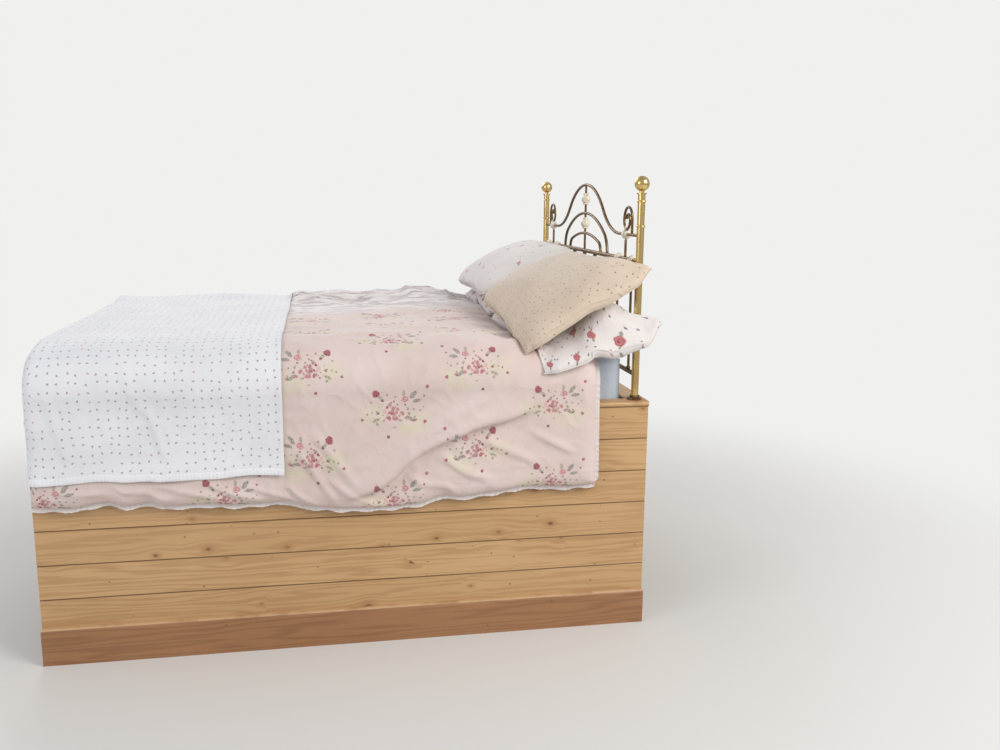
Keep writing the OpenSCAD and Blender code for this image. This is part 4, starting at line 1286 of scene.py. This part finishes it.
def sprigs(finish, colour, at, pitch, loose, size, tints, leaf, kept=1.0, shift=0.0, strong=0.8):
    """Adds one small bud with a leaf to each cell of a print."""
    away, drawn = one_to_a_cell(finish, at, pitch, loose, shift)
    there = (drawn[2] < kept) * strong
    tint = finish.mix(drawn[0] > 0.55, tints[0], tints[1])
    tint = finish.mix(drawn[0] > 0.82, tint, tints[2])
    spun = finish.value("ShaderNodeVectorRotate", {"Vector": away, "Angle": drawn[1] * math.tau},
                        rotation_type="Z_AXIS")
    stem = blot(finish, spun, (size * 1.15, size * 0.55), (size * 0.62, size * 0.30), 0.5, 0.3)
    bud = blot(finish, spun, (0, 0), (size, size * 0.84), 0.0, 0.25)
    colour = finish.mix(stem * there, colour, leaf)
    return finish.mix(bud * there, colour, tint)


def roses(finish, colour, at, pitch, loose, size, pale, deep, kept=1.0, shift=0.0):
    """Adds one open rose to each cell of a print."""
    away, drawn = one_to_a_cell(finish, at, pitch, loose, shift)
    shape, curl = petals(finish, away, size, 5, 0.10)
    leaves = finish.math("MAXIMUM", *(
        blot(finish, away, (size * x, size * y), (size * long, size * wide), turn, 0.3)
        for x, y, long, wide, turn in ((1.25, -0.4, 0.55, 0.26, -0.4),
                                       (-1.0, 0.95, 0.5, 0.24, 2.3))))
    there = (drawn[2] < kept) * 0.85
    colour = finish.mix(leaves * there, colour, (0.20, 0.24, 0.16))
    return finish.mix(shape * there, colour, finish.mix(curl, pale, deep))


def printed(name, ground, shade, *layers, crease=1.0):
    finish = Finish(name, **SHEEN)
    cut = finish.cloth()
    at = warped(finish, cut, 0.0022, 260)
    colour = finish.mix(finish.noise(cut, 5, 2).map(0.3, 0.7), ground, shade)
    for draw, values in layers:
        colour = draw(finish, colour, at, **values)
    return finish.paint(colour, 0.88, weave(finish, cut, crease))


THROW_COTTON = printed(
    "throw cotton", (0.745, 0.750, 0.775), (0.690, 0.695, 0.730),
    (sprigs, dict(pitch=0.0275, loose=0.36, size=0.0033, leaf=(0.28, 0.31, 0.26), kept=0.92,
                  tints=((0.26, 0.130, 0.185), (0.19, 0.190, 0.220), (0.44, 0.22, 0.26)),
                  strong=0.70)),
    crease=0.9)
SPRIG_COTTON = printed(
    "sprig cotton", (0.660, 0.548, 0.435), (0.605, 0.492, 0.382),
    (sprigs, dict(pitch=0.031, loose=0.6, size=0.0029, leaf=(0.20, 0.20, 0.13), kept=0.9,
                  tints=((0.17, 0.085, 0.075), (0.14, 0.130, 0.095), (0.30, 0.12, 0.11)),
                  strong=0.72)))
FLORAL_COTTON = printed(
    "floral cotton", (0.735, 0.690, 0.675), (0.680, 0.630, 0.620),
    (sprigs, dict(pitch=0.040, loose=0.9, size=0.0043, leaf=(0.22, 0.24, 0.18), kept=0.75,
                  tints=((0.075, 0.070, 0.150), (0.12, 0.08, 0.14), (0.42, 0.12, 0.15)))),
    (roses, dict(pitch=0.108, loose=0.8, size=0.0175, pale=(0.50, 0.090, 0.105),
                 deep=(0.27, 0.022, 0.036), kept=0.8, shift=0.31)))
PALE_COTTON = printed(
    "pale floral cotton", (0.730, 0.690, 0.665), (0.680, 0.632, 0.610),
    (sprigs, dict(pitch=0.060, loose=0.95, size=0.0034, leaf=(0.26, 0.27, 0.21), kept=0.5,
                  tints=((0.20, 0.16, 0.20), (0.24, 0.14, 0.17), (0.42, 0.16, 0.18)))),
    (roses, dict(pitch=0.150, loose=0.9, size=0.0120, pale=(0.58, 0.26, 0.27),
                 deep=(0.36, 0.090, 0.100), kept=0.55, shift=0.31)))
print("throw, sprig and floral prints ready")

# %% [markdown]
# ## The duvet
#
# A duvet is a quilt of down in a cotton bag, so it has loft, a soft edge and cloth that is a
# little too large for it. Its upper face follows the folds above, and its lower face lies on the
# bed. Both are grids of some 7 mm at first, because the folds are drawn into the points and a
# fold needs at least three of them. Below, where the cloth is plain, they are dissolved again. A
# Solidify modifier would give both faces the same folds, and a quilt is flat underneath.

# %% Duvet
GRID, THROW_GRID = 0.0066, 0.0095


quilt = bmesh.new()
between(quilt, round(COVER_LONG / GRID), round(HEM_U / GRID),
        lambda s, t: (COVER_FOOT + s * COVER_LONG, t * HEM_U),
        lambda x, u: cover_point(x, u, duvet_top(x, u), hem_drop(x, u) + lip(x, u)),
        lambda x, u: cover_point(x, u, 0.0, hem_drop(x, u)), plain_below=True, flat_at=on_cloth)
duvet = piece("duvet_quilt", quilt, DUVET_COTTON, ["duvet"], sharp=4.0)

# %% Gathered border of the duvet
BORDER, GATHER_PITCH, GATHER_DEEP, CLOTH_T = 0.016, 0.019, 0.0016, 0.0012
HEAD_RUN, LAP, FULLNESS_OF_GATHERS = 1.62, 0.004, 1.25


def border_place(run, w, off):
    """A place in the border: along the hem from the foot, then up the head end; w is across."""
    share = w / BORDER
    uneven = 0.6 + wander(run * 13, 0, 9.1)
    puck = GATHER_DEEP * uneven * (0.25 + 0.75 * share) * math.sin(
        math.tau * run / GATHER_PITCH + 5.0 * wander(run * 9, 0, 4.4))
    lift = DUVET_EDGE / 2 + puck + off + 0.003 * share
    if run < COVER_LONG:
        x = COVER_FOOT + run
        scallop = share * (0.0024 * math.sin(math.tau * run / 0.083)
                           + 0.0022 * wander(run * 24, 0, 1.3))
        return cover_point(x, HEM_U - LAP + w + scallop, lift, hem_drop(x, HEM_U))
    u = HEM_U - (run - COVER_LONG)
    near = smooth((run - COVER_LONG) / 0.02)
    return cover_point(COVER_HEAD - LAP + w * near, u, lift + 0.004 * (u < FLAT_U),
                       hem_drop(COVER_HEAD, u))


border = bmesh.new()
between(border, 1700, 3, lambda s, t: (s * (COVER_LONG + HEAD_RUN), t * BORDER),
        lambda run, w: border_place(run, w, CLOTH_T), lambda run, w: border_place(run, w, 0.0))
border = piece("duvet_border", border, HEM_COTTON)

# %% [markdown]
# ## The throw
#
# The throw is a light quilted cotton spread over the foot of the bed. It lies on the duvet, so its
# height is the duvet's height and a little more, and it bridges the duvet's small folds. Its hem
# band is thicker, and stands off far enough to throw a line of shadow.

# %% Throw
THROW_T, BAND_W, THROW_LONG = 0.0030, 0.019, THROW_END - COVER_FOOT
THROW_CREASES = [
    (-0.632, 1.470, -0.576, 1.660, 0.016, 0.006), (-0.70, 1.38, -0.63, 1.52, 0.020, 0.004),
    (-0.92, 1.42, -0.86, 1.66, 0.018, 0.005), (-0.52, 0.30, -0.47, 0.90, 0.014, 0.0022),
    (-0.90, 0.55, -0.35, 0.60, 0.02, 0.0018)]
THROW_HEM = [(-0.985, 0.010), (-0.80, 0.003), (-0.62, 0.008), (-0.45, 0.006), (-0.33, -0.004),
             (-0.225, 0.002)]


def throw_drop(x, u):
    return along_table(THROW_HEM, x) * smooth((u - FLAT_U - TURN_U) / 0.26) + hem_drop(x, u) * 0.3


def throw_lift(x, u, off):
    own = sum(fold_height(x, u, fold, 5) for fold in THROW_CREASES)
    own += 0.0018 * ridged(x / 0.14, u / 0.22, 6.6)
    stand = 0.010 * smooth((u - THROW_U + 0.07) / 0.07) * (0.75 + 0.25 * math.sin(x * 17))
    side = 0.003 * smooth((x - THROW_END + 0.03) / 0.03)
    return duvet_top(x, u) + 0.0012 + own + stand + side + off


cloth = bmesh.new()
between(cloth, round(THROW_LONG / THROW_GRID), round(THROW_U / THROW_GRID),
        lambda s, t: (COVER_FOOT + s * THROW_LONG, t * THROW_U),
        lambda x, u: cover_point(x, u, throw_lift(x, u, THROW_T), throw_drop(x, u)),
        lambda x, u: cover_point(x, u, throw_lift(x, u, 0.0), throw_drop(x, u)),
        flat_at=on_cloth)
throw = piece("throw_cloth", cloth, THROW_COTTON, ["throw"], sharp=4.0)


def band_face(x, u, off):
    share = (u - THROW_U + BAND_W / 2) / (BAND_W / 2 + 0.003)
    plump = 0.0016 * math.sqrt(max(0.0, 1 - share ** 2))
    pucker = 0.0007 * math.sin(math.tau * x / 0.011 + 3 * wander(x * 14, u * 20, 0))
    return cover_point(x, u, throw_lift(x, u, off) + (plump + pucker) * (1 if off > 0 else -1),
                       throw_drop(x, u))


band = bmesh.new()
between(band, 300, 7, lambda s, t: (COVER_FOOT + s * THROW_LONG,
                                    THROW_U - BAND_W + t * (BAND_W + 0.003)),
        lambda x, u: band_face(x, u, THROW_T + 0.0003), lambda x, u: band_face(x, u, -0.0003))
band = piece("throw_band", band, BAND_COTTON, sharp=4.0)
THROW_FLAT = [b - a for a, b in zip(on_cloth(COVER_FOOT, 0.0), on_cloth(THROW_END, THROW_U))]
print("the throw was cut", [round(side, 3) for side in THROW_FLAT], "m")

# %% [markdown]
# ## The pillows
#
# A pillowcase is two flat pieces of cotton sewn together at the rim. When it is filled, its middle
# rises, its sides draw in between the corners and the cloth puckers along the seam. This is what
# cloth simulation is good at: the flat case is blown up with Pressure and without gravity, and
# its result is then laid where the pillow lies. Modelling the puckers by hand would take longer
# and look stiffer. A cord of thread covers the seam. Where a pillow reaches over the bed's edge,
# its end is let sag, and one that lies on others is laid last.

# %% Filling the cases
CASE_X, CASE_Y, CASE_STEP = 0.375, 0.25, 0.0115
FILL_FRAMES = 22
FILLING = dict(use_pressure=True, uniform_pressure_force=4.0, quality=5, mass=0.30,
               tension_stiffness=25, compression_stiffness=25, shear_stiffness=8,
               bending_stiffness=0.35, air_damping=1.5)
# Each pillow's corners, from the far one at the foot side round by the near one, how high it
# swells, how far its near end reaches on and is lifted at the corner, and how much fuller it is
FLAT_END = dict(ear=0.0, lift=0.0, fat=0.0)
PILLOWS = {
    "pillow_near_lower": dict(
        cotton=FLORAL_COTTON, slot="floral_cotton", swell=0.066, ear=0.086, lift=0.064, fat=0.70,
        corners=((-0.400, 0.690, 0.0745), (-0.350, -0.084, -0.0280),
                 (-0.022, -0.076, 0.0700), (-0.030, 0.690, 0.1695))),
    "pillow_far_lower": dict(
        cotton=FLORAL_COTTON, slot="floral_cotton", swell=0.075, **FLAT_END,
        corners=((-0.400, 1.388, 0.077), (-0.390, 0.712, 0.077),
                 (-0.030, 0.712, 0.172), (-0.030, 1.390, 0.172))),
    "pillow_near_upper": dict(
        cotton=SPRIG_COTTON, slot="sprig_cotton", swell=0.094, ear=0.042, lift=0.026, fat=0.0,
        corners=((-0.430, 0.685, 0.145), (-0.407, -0.043, 0.0310),
                 (-0.012, -0.055, 0.295), (-0.030, 0.685, 0.317))),
    "pillow_far_upper": dict(
        cotton=PALE_COTTON, slot="floral_cotton", swell=0.090, **FLAT_END,
        corners=((-0.430, 1.385, 0.150), (-0.425, 0.705, 0.155),
                 (-0.030, 0.705, 0.325), (-0.030, 1.390, 0.325))),
}


def flat_case(name, seed):
    shape = bmesh.new()
    mark = shape.verts.layers.float_vector.new("cut")
    bmesh.ops.create_grid(shape, x_segments=round(2 * CASE_X / CASE_STEP),
                          y_segments=round(2 * CASE_Y / CASE_STEP), size=1.0)
    for v in shape.verts:
        s, t = v.co.x, v.co.y
        v.co = Vector((s * CASE_X, t * CASE_Y, 0))
        v[mark] = v.co
        v.co.z = 0.012 * rounded(1 - abs(s), 0.4) * rounded(1 - abs(t), 0.4) * (
            1 + 0.5 * wander(s * 3, t * 2, seed))
    bmesh.ops.mirror(shape, geom=all_of(shape), axis="Z", merge_dist=0.0004)
    return linked(name, mesh_of(name, merged(shape, 0.0004)))


def reach_of(points):
    return [max(abs(v.co[i]) for v in points) for i in range(3)]


def fill(cases):
    """Blows the cases up together, each apart from the others, and takes Cloth off again."""
    for n, case in enumerate(cases):
        case.location = (n * 2.0, 0, -20)
        cloth = case.modifiers.new("fill", "CLOTH")
        for setting, value in FILLING.items():
            setattr(cloth.settings, setting, value)
        cloth.settings.effector_weights.gravity = 0.0
        cloth.point_cache.frame_start, cloth.point_cache.frame_end = 1, FILL_FRAMES
        finer = case.modifiers.new("finer", "SUBSURF")
        finer.levels = finer.render_levels = 1
    for step in range(1, FILL_FRAMES + 1):
        bpy.context.scene.frame_set(step)
    ready = bpy.context.evaluated_depsgraph_get()
    filled = [bpy.data.meshes.new_from_object(case.evaluated_get(ready)) for case in cases]
    for case in cases:
        bpy.data.objects.remove(case)
    bpy.context.scene.frame_set(1)
    return filled


filled = fill([flat_case(name + "_case", 3.7 * n) for n, name in enumerate(PILLOWS)])
for mesh in filled:
    print("case filled to", [round(2 * r, 3) for r in reach_of(mesh.vertices)], "m")

# %% Laying the pillows
SHEET_TOP = 0.9323
CORNER_FROM = Vector((BEDHEAD_X, -0.678, SHEET_TOP))
REST_GAP, SETTLE, SPREAD = 0.0010, 0.022, 8
# How far the drawn-in sides are let out again towards the flat cut, how full the sides are (the
# less, the fuller), how far a soft filling evens the swell out, and how blunt the corners are
KEPT_CUT, FULLNESS, EVEN, BLUNT = 0.84, 0.60, 0.50, 0.055
CASE_RISE, CASE_STEPS, UNDER_SWELL = 0.070, 200, 0.034


def pillow_at(corners, swell, s, t, high):
    """A place in a pillow that lies on four corners; s and t run from -1 to 1."""
    low_far, low_near, high_near, high_far = (CORNER_FROM + Vector(c) for c in corners)
    one = low_far.lerp(low_near, (s + 1) / 2)
    two = high_far.lerp(high_near, (s + 1) / 2)
    along = (low_near + high_near - low_far - high_far).normalized()
    across = (high_near + high_far - low_near - low_far).normalized()
    up = across.cross(along).normalized()
    if up.z < 0:
        up = -up
    return one.lerp(two, (t + 1) / 2) + up * high * (swell if high > 0 else UNDER_SWELL)


def case_run(half):
    return run_table([n / CASE_STEPS for n in range(CASE_STEPS + 1)], lambda share: Vector(
        (half * share, CASE_RISE * (1 - share * share) ** 0.34, 0)))


CASE_RUN_X, CASE_RUN_Y = case_run(CASE_X), case_run(CASE_Y)


def on_case(x, y):
    """Where a place in the flat case lies on the filled one, measured over its swell."""
    return (math.copysign(length_at(CASE_RUN_X, abs(x) / CASE_X), x),
            math.copysign(length_at(CASE_RUN_Y, abs(y) / CASE_Y), y))


def settle(shape, supports, mark):
    """Lays the underside on what is below: it's lifted clear, and a small gap is drawn closed."""
    least, rise = [], []
    for v in shape.verts:
        start = Vector((v.co.x, v.co.y, 2.0))
        hits = [tree.ray_cast(start, Vector((0, 0, -1)))[0] for tree in supports]
        floor_z = max((hit.z for hit in hits if hit), default=0.0)
        gap = v.co.z - floor_z - REST_GAP
        under = v[mark].z <= 0
        least.append(-gap + (0.0 if under or gap > 0 else 0.004))
        if gap < 0:
            rise.append(least[-1])
        else:
            rise.append(gap * gap / SETTLE - gap if under and gap < SETTLE else 0.0)
    moved = sum(1 for r in rise if r)
    # Cloth passes a lift on to what is beside it
    shape.verts.index_update()
    beside = [[e.other_vert(v).index for e in v.link_edges] for v in shape.verts]
    for _ in range(SPREAD):
        rise = [max(low, (r + sum(rise[i] for i in near)) / (1 + len(near)))
                for low, r, near in zip(least, rise, beside)]
    for v, r in zip(shape.verts, rise):
        v.co.z += r
    return moved


def tree_of(made):
    return BVHTree.FromPolygons([v.co for v in made.data.vertices],
                                [p.vertices for p in made.data.polygons])


below = [tree_of(duvet), tree_of(fitted)]
laid = []
for (name, facts), mesh in zip(PILLOWS.items(), filled):
    shape = bmesh.new()
    shape.from_mesh(mesh)
    bpy.data.meshes.remove(mesh)
    mark = shape.verts.layers.float_vector["cut"]
    reach = reach_of(shape.verts)
    rim = sorted((v for v in shape.verts if abs(v[mark].x) > CASE_X - 1e-4
                  or abs(v[mark].y) > CASE_Y - 1e-4),
                 key=lambda v: math.atan2(v[mark].y / CASE_Y, v[mark].x / CASE_X))
    supports = below + [tree_of(p) for p in laid if "upper" in name and "lower" in p.name]
    for v in shape.verts:
        s, t, high = (v.co[i] / reach[i] for i in range(3))
        s += KEPT_CUT * (v[mark].x / CASE_X - s)
        t += KEPT_CUT * (v[mark].y / CASE_Y - t)
        even = abs((1 - s * s) * (1 - t * t)) ** 0.38
        high = math.copysign((1 - EVEN) * abs(high) ** FULLNESS + EVEN * even, high)
        ear = smooth((s - 0.78) / 0.16) * smooth((t + 0.2) / 1.2)
        if high > 0:
            high *= 1 + facts["fat"] * smooth((s - 0.2) / 0.6) * smooth((t + 0.3) / 0.8)
        blunt = 1 - BLUNT * smooth((abs(s) - 0.74) / 0.26) * smooth((abs(t) - 0.66) / 0.34)
        v[mark] = Vector((v[mark].x, v[mark].y, high))
        v.co = pillow_at(facts["corners"], facts["swell"], s * blunt, t * blunt, high)
        rise = smooth((s + 0.5) / 1.3) * smooth((t + 0.2) / 0.9)
        sag = 0.9 * smooth((s - 0.6) / 0.4) * smooth(t / 0.4) * (1 - smooth((t - 0.68) / 0.32))
        v.co += Vector((facts["ear"] * ear, 0, facts["lift"] * (rise - sag)))
    moved = settle(shape, supports, mark)
    seam = bmesh.new()
    tube(seam, [v.co.copy() for v in rim], 0.0017, 6)
    lay_flat(shape, on_case)
    bmesh.ops.recalc_face_normals(shape, faces=shape.faces)
    laid.append(piece(name + "_case", shape, facts["cotton"], [name], sharp=4.0))
    piece(name + "_seam", merged(seam), facts["cotton"])
    print(name, "settled", moved, "points")

# %% [markdown]
# ## Size
#
# The last cell takes the box of the finished model and counts the pieces made.

# %% Finish
low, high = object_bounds()
print("pieces made:", len(made_pieces))
